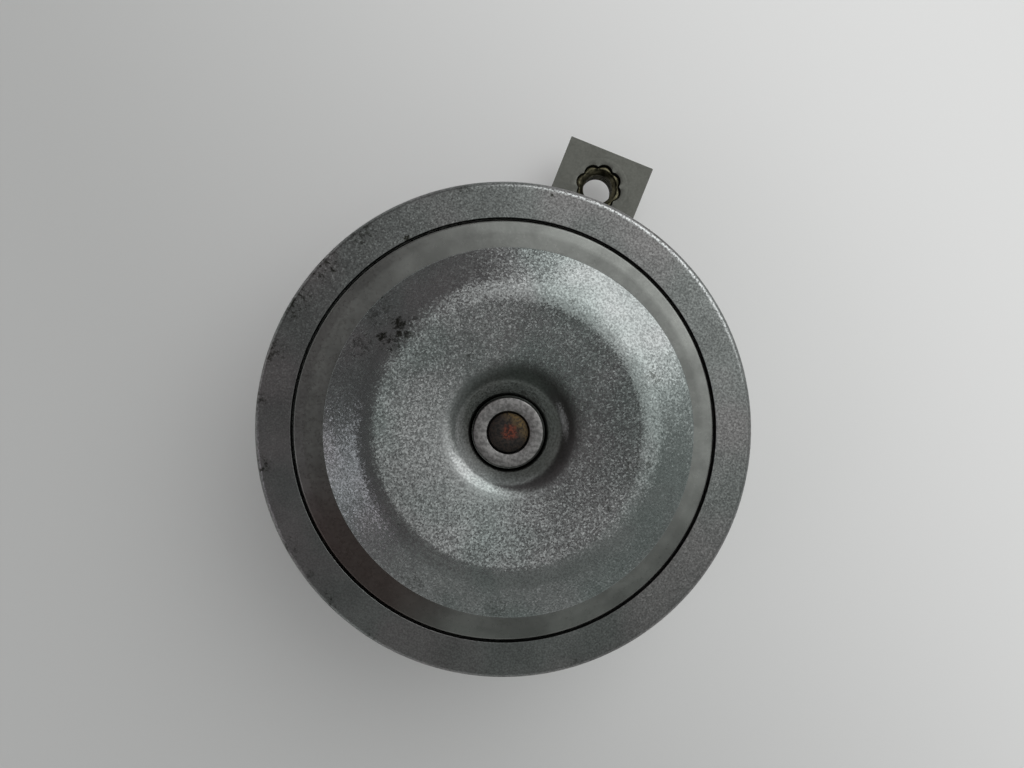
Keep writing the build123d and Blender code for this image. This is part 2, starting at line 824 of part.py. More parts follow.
# Adjuster: a nut clinched into the ledge, and a screw whose tip bears on the arm's tail.
with BuildPart() as adjusting_nut:
    with BuildSketch(Plane.XY.offset(ledge_level - adjuster_nut_height)):
        with Locations(adjuster_place):
            RegularPolygon(adjuster_nut_flats / 2, 6, major_radius=False)
    extrude(amount=adjuster_nut_height)
    with BuildSketch(Plane.XY.offset(ledge_level)):
        with Locations(adjuster_place):
            Circle(adjuster_pilot_radius)
    extrude(amount=housing_sheet)
    with BuildSketch(Plane.XY.offset(ledge_level - adjuster_nut_height)):
        with Locations(adjuster_place):
            Circle(adjuster_radius + thread_clearance)
    extrude(amount=adjuster_nut_height + housing_sheet, mode=Mode.SUBTRACT)

adjuster_head_top = ledge_level - adjuster_nut_height - adjuster_free_thread

with BuildPart() as adjusting_screw:
    with BuildSketch(Plane.XY.offset(adjuster_head_top - adjuster_head_height)):
        with Locations(adjuster_place):
            Circle(adjuster_head_radius)
    extrude(amount=adjuster_head_height)
    fillet(adjusting_screw.edges().group_by(Axis.Z)[0], adjuster_slot_width / 2)
    with BuildSketch(Plane.XY.offset(adjuster_head_top)):
        with Locations(adjuster_place):
            Circle(adjuster_radius)
    extrude(amount=arm_level - adjuster_head_top)
    with BuildSketch(Plane.XY.offset(adjuster_head_top - adjuster_head_height)):
        with Locations(adjuster_place):
            Rectangle(3 * adjuster_head_radius, adjuster_slot_width)
    extrude(amount=adjuster_slot_depth, mode=Mode.SUBTRACT)

# ---------------------------------------------------------------- terminals
# Moulded base under the ledge, with bushes through it and a barrier between the blades.
with BuildPart() as terminal_base:
    with BuildSketch(terminal_plane.offset(terminal_base_level)) as base_outline:
        with Locations((terminal_base_middle, 0)):
            RectangleRounded(
                terminal_base_length, terminal_base_width, terminal_base_corner
            )
    extrude(amount=terminal_base_height)
    with BuildSketch(terminal_plane.offset(terminal_base_level - terminal_barrier_height)):
        with Locations((terminal_base_middle, 0)):
            Rectangle(terminal_base_length, terminal_barrier_width)
    extrude(amount=terminal_barrier_height)
    with BuildSketch(terminal_plane.offset(ledge_level)):
        with Locations(terminal_rivet_places):
            Circle(terminal_boss_radius)
    extrude(amount=housing_sheet)
    with BuildSketch(terminal_plane.offset(terminal_base_level)):
        with Locations(terminal_rivet_places):
            Circle(terminal_rivet_radius + rivet_clearance)
    extrude(amount=terminal_base_height + housing_sheet, mode=Mode.SUBTRACT)

# Plate that keeps the rivets off the housing on its inner side.
with BuildPart() as terminal_insulator:
    with BuildSketch(terminal_plane.offset(ledge_top)):
        with Locations((ledge_middle, 0)):
            Rectangle(inner_insulator_length, inner_insulator_width)
        Circle(ledge_flat_outer - inner_insulator_edge_gap, mode=Mode.INTERSECT)
        with Locations(terminal_rivet_places):
            Circle(terminal_rivet_radius + rivet_clearance, mode=Mode.SUBTRACT)
    extrude(amount=inner_insulator_thickness)

terminal_blades = {}
for side, name in ((-1, "terminal_blade_right"), (1, "terminal_blade_left")):
    blade_centre = side * terminal_spacing / 2
    blade_inner = terminal_base_inner + blade_inset
    with BuildPart() as blade:
        with BuildSketch(terminal_plane.offset(blade_level)) as tab:
            with Locations((blade_inner + blade_length / 2, blade_centre)):
                Rectangle(blade_length, blade_width)
            chamfer(tab.vertices(), blade_tip_chamfer)
            with Locations((ledge_middle, blade_centre)):
                Circle(terminal_rivet_radius + rivet_clearance, mode=Mode.SUBTRACT)
            with Locations((blade_inner + blade_length - blade_hole_setback, blade_centre)):
                Circle(blade_hole_radius, mode=Mode.SUBTRACT)
        extrude(amount=blade_thickness)
    terminal_blades[name] = blade

terminal_rivet = domed_rivet(
    terminal_rivet_radius,
    terminal_rivet_head_radius,
    terminal_rivet_head_height,
    blade_level,
    inner_insulator_top,
)

with BuildPart(terminal_plane) as terminal_rivets:
    with Locations(terminal_rivet_places):
        add(terminal_rivet)

# ---------------------------------------------------------------- written pieces
pieces = {
    "rear_bolt": rear_bolt,
    "spring_washer": spring_washer,
    "plain_washer": plain_washer,
    "bracket": bracket,
    "clinch_nut": clinch_nut,
    "housing": housing,
    "rear_gasket": rear_gasket,
    "front_gasket": front_gasket,
    "diaphragm": diaphragm,
    "clamp_ring": clamp_ring,
    "armature": armature,
    "breaker_pusher": breaker_pusher,
    "armature_washer": armature_washer,
    "disc_spacer": disc_spacer,
    "tone_disc": tone_disc,
    "front_washer": front_washer,
    "pole_core": pole_core,
    "coil_bobbin": coil_bobbin,
    "coil_winding": coil_winding,
    "field_plate": field_plate,
    "field_plate_rivets": field_plate_rivets,
    "contact_insulator_lower": contact_insulator_lower,
    "contact_spring": contact_spring,
    "contact_insulator_middle": contact_insulator_middle,
    "fixed_contact_arm": fixed_contact_arm,
    "contact_insulator_upper": contact_insulator_upper,
    "moving_contact": moving_contact,
    "fixed_contact": fixed_contact,
    "contact_rivets": contact_rivets,
    "adjusting_nut": adjusting_nut,
    "adjusting_screw": adjusting_screw,
    "terminal_base": terminal_base,
    "terminal_insulator": terminal_insulator,
    **terminal_blades,
    "terminal_rivets": terminal_rivets,
}

os.makedirs("parts", exist_ok=True)
for name, piece in pieces.items():
    piece.part.label = name
    export_step(piece.part, f"parts/{name}.step")
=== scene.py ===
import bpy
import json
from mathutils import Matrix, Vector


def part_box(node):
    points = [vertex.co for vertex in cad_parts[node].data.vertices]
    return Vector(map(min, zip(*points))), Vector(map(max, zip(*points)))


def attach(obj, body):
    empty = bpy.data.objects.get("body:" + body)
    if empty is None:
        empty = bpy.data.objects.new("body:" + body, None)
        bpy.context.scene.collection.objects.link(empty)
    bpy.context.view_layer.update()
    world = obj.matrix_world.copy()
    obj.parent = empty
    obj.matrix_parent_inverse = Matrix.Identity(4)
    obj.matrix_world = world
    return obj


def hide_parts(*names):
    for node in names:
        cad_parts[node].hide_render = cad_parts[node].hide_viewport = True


bl_info = {
    "name": "Disc car horn",
    "version": (1, 0, 0),
    "blender": (4, 5, 0),
    "location": "3D View > Sidebar > Horn",
    "description": "Shown surfaces of an electromagnetic disc car horn, built round its CAD frame",
    "category": "Object",
}

import json
from functools import partial
from math import atan2, cos, pi, radians, sin, tan

import bmesh
import bpy
from mathutils import Matrix, Vector

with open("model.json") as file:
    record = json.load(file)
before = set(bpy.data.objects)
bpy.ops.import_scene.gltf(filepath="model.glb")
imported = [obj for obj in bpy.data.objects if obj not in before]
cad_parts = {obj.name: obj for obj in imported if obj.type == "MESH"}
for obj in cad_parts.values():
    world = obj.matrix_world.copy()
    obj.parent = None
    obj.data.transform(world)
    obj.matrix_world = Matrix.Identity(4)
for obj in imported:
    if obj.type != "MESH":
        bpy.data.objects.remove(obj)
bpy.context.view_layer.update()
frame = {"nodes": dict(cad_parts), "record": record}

# Shapes are worked out in millimetres and scaled to metres when a piece is finished.
MM = 0.001
# Steps round a large turned piece, round a small one, and along a bend.
ROUND_STEPS = 240
SMALL_STEPS = 96
BEND_STEPS = 8
EDGE_STEPS = 3
LEAST_BEND = 0.1


def edges_of(node):
    """Lowest and highest corner of a CAD node, in millimetres."""
    low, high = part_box(node)
    return low / MM, high / MM


# ---------------------------------------------------------------- places from the frame
RING_LOW, RING_HIGH = edges_of("clamp_ring")
DISC_LOW, DISC_HIGH = edges_of("tone_disc")
WASHER_LOW, WASHER_HIGH = edges_of("front_washer")
ARMATURE_LOW, ARMATURE_HIGH = edges_of("armature")
DIAPHRAGM_HIGH = edges_of("diaphragm")[1]
BRACKET_LOW, BRACKET_HIGH = edges_of("bracket")
NUT_LOW, NUT_HIGH = edges_of("clinch_nut")
HOUSING_LOW, HOUSING_HIGH = edges_of("housing")
BOLT_HIGH = edges_of("rear_bolt")[1]
SPRING_LOW, SPRING_HIGH = edges_of("spring_washer")
PLAIN_LOW, PLAIN_HIGH = edges_of("plain_washer")
SPACER_LOW, SPACER_HIGH = edges_of("disc_spacer")

# Material slot of each CAD node.
SLOT_OF = {entry["node"]: entry["material_slot"] for entry in frame["record"]["subparts"]}

SET_CENTRE = ((DISC_LOW.x + DISC_HIGH.x) / 2, (DISC_LOW.y + DISC_HIGH.y) / 2)
NUT_CENTRE = ((NUT_LOW.x + NUT_HIGH.x) / 2, (NUT_LOW.y + NUT_HIGH.y) / 2)


# ---------------------------------------------------------------- mesh helpers
def wire(bm, corners, closed=True):
    """Adds a wire through (across, up, bend radius) corners in the XZ plane, with its bends."""
    verts = [bm.verts.new((corner[0], 0, corner[1])) for corner in corners]
    ends = verts[1:] + verts[:1] if closed else verts[1:]
    for pair in zip(verts, ends):
        bm.edges.new(pair)
    for vert, corner in zip(verts, corners):
        if len(vert.link_edges) == 2 and len(corner) > 2 and corner[2] > 0:
            arms = [edge.other_vert(vert).co - vert.co for edge in vert.link_edges]
            turn = pi - arms[0].angle(arms[1])
            bmesh.ops.bevel(
                bm,
                geom=[vert],
                offset=corner[2] * tan(turn / 2),
                offset_type="OFFSET",
                segments=corner[3] if len(corner) > 3 else BEND_STEPS,
                profile=0.5,
                affect="VERTICES",
                material=-1,
            )


def sheet_outline(corners, thickness, edge_radius):
    """Closed outline of a bent sheet: its shown face, and the far face to the right of it."""
    points = [Vector(corner[:2]) for corner in corners]
    ways = [(b - a).normalized() for a, b in zip(points, points[1:])]
    far = []
    for index, point in enumerate(points):
        before = ways[max(index - 1, 0)]
        after = ways[min(index, len(ways) - 1)]
        middle = (before + after).normalized()
        side = Vector((middle.y, -middle.x))
        reach = thickness / middle.dot(before)
        turn_right = before.x * after.y - before.y * after.x < 0
        bend = corners[index][2] if len(corners[index]) > 2 else 0
        bend = max(bend - thickness, LEAST_BEND) if turn_right else bend + thickness
        far.append((*(point + side * reach), bend))
    near = [(*corner[:2], corner[2] if len(corner) > 2 else 0) for corner in corners]
    for line in (near, far):
        for end in (0, -1):
            line[end] = (*line[end][:2], edge_radius, EDGE_STEPS)
    return near + far[::-1]


def spun(corners, centre=(0, 0), steps=ROUND_STEPS):
    """A solid turned from a closed outline of (radius, height, bend radius) corners."""
    bm = bmesh.new()
    wire(bm, corners)
    bmesh.ops.translate(bm, vec=(*centre, 0), verts=bm.verts)
    bmesh.ops.spin(
        bm,
        geom=bm.verts[:] + bm.edges[:],
        cent=(*centre, 0),
        axis=(0, 0, 1),
        angle=2 * pi,
        steps=steps,
        use_merge=True,
    )
    return bm


def loop(bm, shape, centre, steps):
    """Adds a closed loop of edges. The shape gives (radius, height) at each angle."""
    made = bmesh.ops.create_circle(bm, radius=1, segments=steps)["verts"]
    place_loop(made, shape, centre)
    return list(dict.fromkeys(edge for vert in made for edge in vert.link_edges))


def place_loop(verts, shape, centre, old_centre=(0, 0)):
    """Moves each vertex of a loop to the radius and height that the shape gives at its angle."""
    for vert in verts:
        angle = atan2(vert.co.y - old_centre[1], vert.co.x - old_centre[0])
        radius, height = shape(angle)
        vert.co = (centre[0] + radius * cos(angle), centre[1] + radius * sin(angle), height)


def grown(bm, edges, shapes, centre):
    """Grows a wall from a loop through each shape in turn, and returns the last loop."""
    for shape in shapes:
        made = bmesh.ops.extrude_edge_only(bm, edges=edges)["geom"]
        edges = [item for item in made if isinstance(item, bmesh.types.BMEdge)]
        verts = [item for item in made if isinstance(item, bmesh.types.BMVert)]
        place_loop(verts, shape, centre, centre)
    return edges


def plain(radius, height):
    """A round loop."""
    return lambda angle: (radius, height)


def hexed(flats, height, chamfer_radius=None, way=1):
    """A hexagon with corners on X. With a chamfer, its corners dip as a cone cuts them."""

    def shape(angle):
        radius = flats / 2 / cos((angle % radians(60)) - radians(30))
        dip = 0 if chamfer_radius is None else (radius - chamfer_radius) * tan(radians(30))
        return radius, height + way * dip

    return shape


def lobed(reach, lobe_radius, count, height):
    """Outward lobes that meet in valleys."""
    lobe_centre = reach - lobe_radius
    pitch = 2 * pi / count

    def shape(angle):
        off = (angle + pitch / 2) % pitch - pitch / 2
        radius = lobe_centre * cos(off) + (lobe_radius**2 - (lobe_centre * sin(off)) ** 2) ** 0.5
        return radius, height

    return shape


def filled(bm, *loops):
    """Closes the flat space between loops of edges."""
    edges = [edge for each in loops for edge in each]
    bmesh.ops.triangle_fill(bm, use_beauty=True, use_dissolve=False, edges=edges)


def settle(bm):
    """Puts the parts in a fixed order, because a merge leaves them in any order."""
    bm.verts.sort(key=lambda vert: vert.co.dot((1, 1e3, 1e6)))
    bm.verts.index_update()
    count = len(bm.verts)

    def rank(part):
        corners = sorted(vert.index for vert in part.verts)[:3]
        return sum(index * count**power for power, index in enumerate(corners))

    bm.edges.sort(key=rank)
    bm.faces.sort(key=rank)


def from_frame(node):
    """The CAD node's own shape, merged and with its flat faces made whole."""
    bm = bmesh.new()
    bm.from_mesh(frame["nodes"][node].data)
    bmesh.ops.scale(bm, vec=(1 / MM,) * 3, verts=bm.verts)
    bmesh.ops.remove_doubles(bm, verts=bm.verts, dist=0.002)
    bmesh.ops.dissolve_limit(bm, angle_limit=radians(1), verts=bm.verts, edges=bm.edges)
    return bm


def finish_piece(bm, name, node, finish, body="root", bevel=0, bevel_angle=35, bevel_steps=2):
    """Makes the object, gives it its material, and puts it on its body in place of the node."""
    bmesh.ops.remove_doubles(bm, verts=bm.verts, dist=0.0005)
    # An outline that runs along its own axis leaves an edge there with no face.
    stray = [edge for edge in bm.edges if edge.is_wire]
    bmesh.ops.delete(bm, geom=stray, context="EDGES")
    settle(bm)
    bmesh.ops.recalc_face_normals(bm, faces=bm.faces)
    bmesh.ops.scale(bm, vec=(MM,) * 3, verts=bm.verts)
    for face in bm.faces:
        face.smooth = True
    mesh = bpy.data.meshes.new(name)
    bm.to_mesh(mesh)
    bm.free()
    for edge in mesh.edges:
        edge.vertices = sorted(edge.vertices)
    mesh.materials.append(finish)
    piece = bpy.data.objects.new(name, mesh)
    bpy.context.scene.collection.objects.link(piece)
    if bevel:
        edge = piece.modifiers.new("edges", "BEVEL")
        edge.width = bevel * MM
        edge.segments = bevel_steps
        edge.limit_method = "ANGLE"
        edge.angle_limit = radians(bevel_angle)
    weighted = piece.modifiers.new("flats", "WEIGHTED_NORMAL")
    weighted.keep_sharp = True
    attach(piece, body)
    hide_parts(node)


# ---------------------------------------------------------------- material helpers
SMOOTH = {"interpolation_type": "SMOOTHSTEP"}
# A Mix node has sockets of the same name for each type of data, so its colours go by number.
MIX_SHARE, MIX_FIRST, MIX_SECOND, MIX_RESULT = 0, 6, 7, 2
RGBA = {"data_type": "RGBA"}


def srgb(code):
    """Linear red, green and blue of an sRGB hex value."""
    parts = [int(code[index : index + 2], 16) / 255 for index in (1, 3, 5)]
    return [p / 12.92 if p <= 0.04045 else ((p + 0.055) / 1.055) ** 2.4 for p in parts]


def add(tree, kind, output, sockets=(), **settings):
    """Adds a node and returns one of its outputs.

    Its sockets are given in order, or by name or number. Each takes a value, or the output
    that feeds it.
    """
    node = tree.nodes.new("ShaderNode" + kind)
    for key, value in settings.items():
        setattr(node, key, value)
    for key, value in sockets.items() if isinstance(sockets, dict) else enumerate(sockets):
        socket = node.inputs[key]
        if isinstance(value, bpy.types.NodeSocket):
            tree.links.new(value, socket)
        else:
            socket.default_value = (*value, 1) if socket.type == "RGBA" else value
    return node.outputs[output]


def feed(shader, name, output):
    """Links an output to a socket of the shader."""
    shader.id_data.links.new(output, shader.inputs[name])


def per(size):
    """Scale of a pattern whose cells are so many millimetres across."""
    return 1 / (size * MM)


def times(colour, share):
    """A colour made lighter or darker."""
    return [part * share for part in colour]


def new_material(name, colour, metallic, roughness):
    """A material, the function that adds nodes to it, its shader and its object coordinates."""
    material = bpy.data.materials.new(name)
    material.use_nodes = True
    shader = material.node_tree.nodes["Principled BSDF"]
    shader.inputs["Base Color"].default_value = (*colour, 1)
    shader.inputs["Metallic"].default_value = metallic
    shader.inputs["Roughness"].default_value = roughness
    node = partial(add, material.node_tree)
    return material, node, shader, node("TexCoord", "Object")


def away_from(node, place, centre):
    """Distance from an upright axis, whose place is in millimetres."""
    flat = node("VectorMath", 0, (place, (1, 1, 0)), operation="MULTIPLY")
    axis = (centre[0] * MM, centre[1] * MM, 0)
    return node("VectorMath", "Value", (flat, axis), operation="DISTANCE")


def faceted(node, place, size, tilt):
    """Surface direction that leans a little differently on each crystal of the plating."""
    cells = node("TexVoronoi", "Color", {"Vector": place, "Scale": per(size)})
    lean = node("VectorMath", 0, (cells, (0.5, 0.5, 0.5)), operation="SUBTRACT")
    lean = node("VectorMath", 0, {0: lean, "Scale": tilt}, operation="SCALE")
    leaning = node("VectorMath", 0, (node("NewGeometry", "Normal"), lean), operation="ADD")
    return node("VectorMath", 0, (leaning,), operation="NORMALIZE")


def spots(node, place, places, ragged):
    """Share of dirt: each place is (x, y, radius, strength) in millimetres on the face."""
    total = None
    for across, along, radius, strength in places:
        # The noise frays a spot by more than its radius, and the range makes up for it.
        fray = node("Math", 0, (ragged, radius * 3.4 * MM), operation="MULTIPLY")
        away = away_from(node, place, (across, along))
        away = node("Math", 0, (away, fray), operation="ADD")
        edge = (away, radius * 2.3 * MM, radius * 2.9 * MM, strength, 0)
        near = node("MapRange", 0, edge, **SMOOTH)
        total = near if total is None else node("Math", 0, (total, near), operation="MAXIMUM")
    return total


# ---------------------------------------------------------------- materials
# Places on the face that have collected dirt: x, y, size and strength, in millimetres.
DISC_GRIME = [
    (-25.0, 8.0, 2.0, 0.8),
    (-22.0, 12.5, 1.8, 0.6),
    (-30.0, 5.0, 2.5, 0.5),
    (-29.5, 12.0, 2.5, 0.45),
    (24.0, 4.0, 2.2, 0.5),
    (21.5, 19.5, 1.8, 0.5),
    (-5.0, -32.0, 2.2, 0.5),
    (11.0, -30.5, 2.0, 0.4),
]
DISC_DIRT = [
    (-27.0, 8.3, 1.0, 0.9),
    (-24.9, 11.8, 1.2, 0.9),
    (-24.3, 10.0, 0.7, 0.85),
    (-22.9, 10.4, 0.8, 0.8),
    (-30.0, 15.0, 0.25, 0.7),
    (25.4, 25.0, 0.3, 0.7),
    (-11.1, 11.0, 0.4, 0.6),
    (26.7, 4.7, 0.6, 0.6),
    (27.6, 0.1, 0.4, 0.5),
    (23.2, -5.5, 0.45, 0.5),
    (2.6, 27.1, 0.5, 0.4),
    (14.1, 18.9, 0.35, 0.4),
    (-13.5, -19.2, 0.4, 0.4),
    (-11.4, -22.3, 0.3, 0.4),
]
# Grime that has caught in the grain along the ring's outer edge.
RING_GRIME = [
    (-46.5, 8.0, 3.4, 0.8),
    (-43.5, 17.0, 3.0, 0.8),
    (-47.0, -2.0, 2.4, 0.75),
    (-39.0, 25.0, 2.6, 0.6),
    (-46.0, -12.0, 1.8, 0.7),
    (-40.5, -23.5, 2.0, 0.8),
    (-30.0, -36.5, 2.2, 0.7),
    (-19.5, -43.5, 2.2, 0.75),
    (-9.0, -46.5, 1.5, 0.6),
    (14.0, 45.5, 1.3, 0.5),
    (-25.0, 40.5, 1.6, 0.6),
    (30.0, -36.5, 1.5, 0.5),
]
RING_DIRT = [
    (-30.7, 27.4, 0.6, 0.95),
    (-40.3, 0.4, 0.5, 0.9),
    (-8.1, 45.2, 0.35, 0.8),
    (-40.1, -23.9, 0.4, 0.8),
    (-24.0, -39.5, 0.8, 0.4),
]


def plated_zinc(
    name, colour, grain, tilt, roughness, marks=(), grime=(), smooth=None, shade=None, painted_glint=None
):
    """Electroplated zinc on pressed steel: metal with a dull grey crystal grain."""
    # Zinc plate breaks the light up into grains, each a little brighter or darker than the next,
    # with pin pores between them. Real grains are finer; these are as coarse as shows.
    material, node, shader, place = new_material(name, colour, 1.0, roughness)
    colour, dirt_and_shade = list(colour), list(colours().dirt_and_shade)
    # Broad clouds, the grain itself, the fraying of dirt, its patches, and the film's tint.
    cloud, fine, ragged, patchy, film = (
        node(
            "TexNoise",
            "Fac",
            {"Vector": place, "Scale": per(size), "Detail": detail, "Roughness": rough},
        )
        for size, detail, rough in (
            (11, 4, 0.6),
            (grain * 1.5, 3, 0.6),
            (0.7, 4, 0.7),
            (1.0, 4, 0.7),
            (22, 2, 0.5),
        )
    )
    cloud = node("MapRange", 0, (cloud, 0.35, 0.65), **SMOOTH)
    patchy = node("MapRange", 0, (patchy, 0.47, 0.6), **SMOOTH)
    film = node("MapRange", 0, (film, 0.4, 0.6), **SMOOTH)
    ends = {MIX_FIRST: times(colour, 0.88), MIX_SECOND: times(colour, 1.1)}
    tone = node("Mix", MIX_RESULT, {MIX_SHARE: cloud, **ends}, **RGBA)
    # A plated skin is a few light-waves thick, and turns faintly green or pink where it varies.
    ends = {MIX_FIRST: (0.97, 1.015, 1.005), MIX_SECOND: (1.015, 0.985, 0.995)}
    tint = node("Mix", MIX_RESULT, {MIX_SHARE: film, **ends}, **RGBA)
    speck = node("MapRange", 0, (fine, 0.34, 0.66, 0.75, 1.25), **SMOOTH)
    for veil in (tint, speck):
        layers = {MIX_SHARE: 1.0, MIX_FIRST: tone, MIX_SECOND: veil}
        tone = node("Mix", MIX_RESULT, layers, blend_type="MULTIPLY", **RGBA)
    covers = []
    if grime:
        # Grime lies on the face, and not down the ring's wall.
        height = node("SeparateXYZ", "Z", (place,))
        edge = (height, (RING_HIGH.z - 1.5) * MM, (RING_HIGH.z - 0.4) * MM)
        face = node("MapRange", 0, edge, **SMOOTH)
        patchy = node("Math", 0, (patchy, face), operation="MULTIPLY")
        near = spots(node, place, grime, ragged)
        covers.append(node("Math", 0, (near, patchy), operation="MULTIPLY"))
    if marks:
        pores = node("MapRange", 0, (fine, 0.45, 0.65, 1, 0.6), **SMOOTH)
        near = spots(node, place, marks, ragged)
        covers.append(node("Math", 0, (near, pores), operation="MULTIPLY"))
    # Painted shade: the tone darkens to the dirt colour within a radius of a centre.
    if shade:
        centre, inner, outer, strength = shade
        edge = (away_from(node, place, centre), inner * MM, outer * MM, strength, 0)
        covers.append(node("MapRange", 0, edge, **SMOOTH))
    for share in covers:
        layers = {MIX_SHARE: share, MIX_FIRST: tone, MIX_SECOND: dirt_and_shade}
        tone = node("Mix", MIX_RESULT, layers, **RGBA)
    if painted_glint:
        # Painted highlight: a bright line along part of the edge, on the side toward the key lamp,
        # broken up by the grain.
        way, radius, width, bright = painted_glint
        off = node("Math", 0, (away_from(node, place, (0, 0)), radius * MM), operation="SUBTRACT")
        off = node("Math", 0, (off,), operation="ABSOLUTE")
        share = node("MapRange", 0, (off, 0, width * MM, 1, 0), **SMOOTH)
        along = node("VectorMath", "Value", (place, way), operation="DOT_PRODUCT")
        side = node("MapRange", 0, (along, radius * 0.68 * MM, radius * 0.96 * MM), **SMOOTH)
        grains = node("MapRange", 0, (fine, 0.36, 0.56), **SMOOTH)
        for part in (side, grains):
            share = node("Math", 0, (share, part), operation="MULTIPLY")
        layers = {MIX_SHARE: share, MIX_FIRST: tone, MIX_SECOND: srgb(bright)}
        tone = node("Mix", MIX_RESULT, layers, **RGBA)
    feed(shader, "Base Color", tone)
    dull = node("MapRange", 0, (fine, 0.3, 0.7, roughness + 0.08, roughness - 0.06), **SMOOTH)
    if smooth:
        # Where the tool has burnished the sheet, the grain is flattened and the metal shines.
        centre, inner, outer, polish, calm = smooth
        edge = (away_from(node, place, centre), inner * MM, outer * MM)
        rough = node("MapRange", 0, edge, **SMOOTH)
        shine = node("MapRange", 0, (rough, 0, 1, polish, 1), **SMOOTH)
        dull = node("Math", 0, (dull, shine), operation="MULTIPLY")
        tilt = node("MapRange", 0, (rough, 0, 1, tilt * calm, tilt), **SMOOTH)
    feed(shader, "Roughness", dull)
    lean = faceted(node, place, grain, tilt)
    relief = {"Height": fine, "Distance": grain * 0.12 * MM, "Strength": 0.5, "Normal": lean}
    feed(shader, "Normal", node("Bump", "Normal", relief))
    return material


def satin_steel(name, colour, roughness, mottle=0.12, size=6, painted_shade=None):
    """Rolled or turned metal, smooth and satin, with a faint cloudiness."""
    material, node, shader, place = new_material(name, colour, 1.0, roughness)
    cloudy = {"Vector": place, "Scale": per(size), "Detail": 4, "Roughness": 0.6}
    cloud = node("MapRange", 0, (node("TexNoise", "Fac", cloudy), 0.35, 0.65), **SMOOTH)
    ends = {MIX_FIRST: times(colour, 1 - mottle), MIX_SECOND: times(colour, 1 + mottle)}
    tone = node("Mix", MIX_RESULT, {MIX_SHARE: cloud, **ends}, **RGBA)
    # Painted shade: the steel turns darker and browner towards a point.
    if painted_shade:
        centre, inner, outer, strength, brown = painted_shade
        edge = (away_from(node, place, centre), inner * MM, outer * MM, strength, 0)
        near = node("MapRange", 0, edge, **SMOOTH)
        layers = {MIX_SHARE: near, MIX_FIRST: tone, MIX_SECOND: srgb(brown)}
        tone = node("Mix", MIX_RESULT, layers, **RGBA)
    feed(shader, "Base Color", tone)
    fine = node("TexNoise", "Fac", {"Vector": place, "Scale": per(0.5), "Detail": 3})
    dull = (fine, 0.3, 0.7, roughness + 0.06, roughness - 0.05)
    feed(shader, "Roughness", node("MapRange", 0, dull, **SMOOTH))
    relief = {"Height": fine, "Distance": 0.008 * MM, "Strength": 0.5}
    feed(shader, "Normal", node("Bump", "Normal", relief))
    return material


def rusted_steel(name, centre, light_way, steel, rust, dark):
    """Peened steel that has rusted: dark olive crust, red in the middle, and a painted highlight
    that makes it paler on the side toward the light.
    """
    material, node, shader, place = new_material(name, dark, 0.3, 0.6)
    crust, ragged = (
        node(
            "TexNoise",
            "Fac",
            {"Vector": place, "Scale": per(size), "Detail": 4, "Roughness": rough},
        )
        for size, rough in ((0.55, 0.75), (0.8, 0.7))
    )
    patches = node("MapRange", 0, (crust, 0.42, 0.58), **SMOOTH)
    ends = {MIX_FIRST: times(dark, 0.3), MIX_SECOND: times(dark, 2.2)}
    tone = node("Mix", MIX_RESULT, {MIX_SHARE: patches, **ends}, **RGBA)
    # Painted highlight: the crust turns paler, toward the steel colour, on the side toward the
    # light.
    axis = (centre[0] * MM, centre[1] * MM, 0)
    off = node("VectorMath", 0, (place, axis), operation="SUBTRACT")
    along = node("VectorMath", "Value", (off, light_way), operation="DOT_PRODUCT")
    side = node("MapRange", 0, (along, 0.6 * MM, 3.2 * MM), **SMOOTH)
    crests = node("MapRange", 0, (crust, 0.35, 0.6), **SMOOTH)
    painted_glint = node("Math", 0, (side, crests), operation="MULTIPLY")
    tone = node("Mix", MIX_RESULT, {MIX_SHARE: painted_glint, MIX_FIRST: tone, MIX_SECOND: steel}, **RGBA)
    ragged = node("Math", 0, (ragged, 3.2 * MM), operation="MULTIPLY")
    near = away_from(node, place, (centre[0] + 0.25, centre[1] + 0.3))
    near = node("Math", 0, (near, ragged), operation="ADD")
    near = node("MapRange", 0, (near, 2.2 * MM, 3.5 * MM, 0.9, 0), **SMOOTH)
    flaked = node("MapRange", 0, (crust, 0.42, 0.6), **SMOOTH)
    ends = {MIX_FIRST: times(rust, 0.35), MIX_SECOND: times(rust, 2.6)}
    rusty = node("Mix", MIX_RESULT, {MIX_SHARE: flaked, **ends}, **RGBA)
    tone = node("Mix", MIX_RESULT, {MIX_SHARE: near, MIX_FIRST: tone, MIX_SECOND: rusty}, **RGBA)
    feed(shader, "Base Color", tone)
    # The painted highlight is also more metallic.
    feed(shader, "Metallic", node("MapRange", 0, (painted_glint, 0, 1, 0.15, 0.7), **SMOOTH))
    feed(shader, "Roughness", node("MapRange", 0, (crust, 0.3, 0.7, 0.75, 0.45), **SMOOTH))
    relief = {"Height": crust, "Distance": 0.16 * MM, "Strength": 0.9}
    feed(shader, "Normal", node("Bump", "Normal", relief))
    return material


def moulded(name, colour, roughness, speckle=0.1, size=0.6, depth=0.01):
    """Moulded or pressed board: dielectric, with a fine even speckle."""
    material, node, shader, place = new_material(name, colour, 0.0, roughness)
    fine = node("TexNoise", "Fac", {"Vector": place, "Scale": per(size), "Detail": 3})
    share = node("MapRange", 0, (fine, 0.35, 0.65), **SMOOTH)
    ends = {MIX_FIRST: times(colour, 1 - speckle), MIX_SECOND: times(colour, 1 + speckle)}
    feed(shader, "Base Color", node("Mix", MIX_RESULT, {MIX_SHARE: share, **ends}, **RGBA))
    relief = {"Height": fine, "Distance": depth * MM, "Strength": 0.6}
    feed(shader, "Normal", node("Bump", "Normal", relief))
    return material


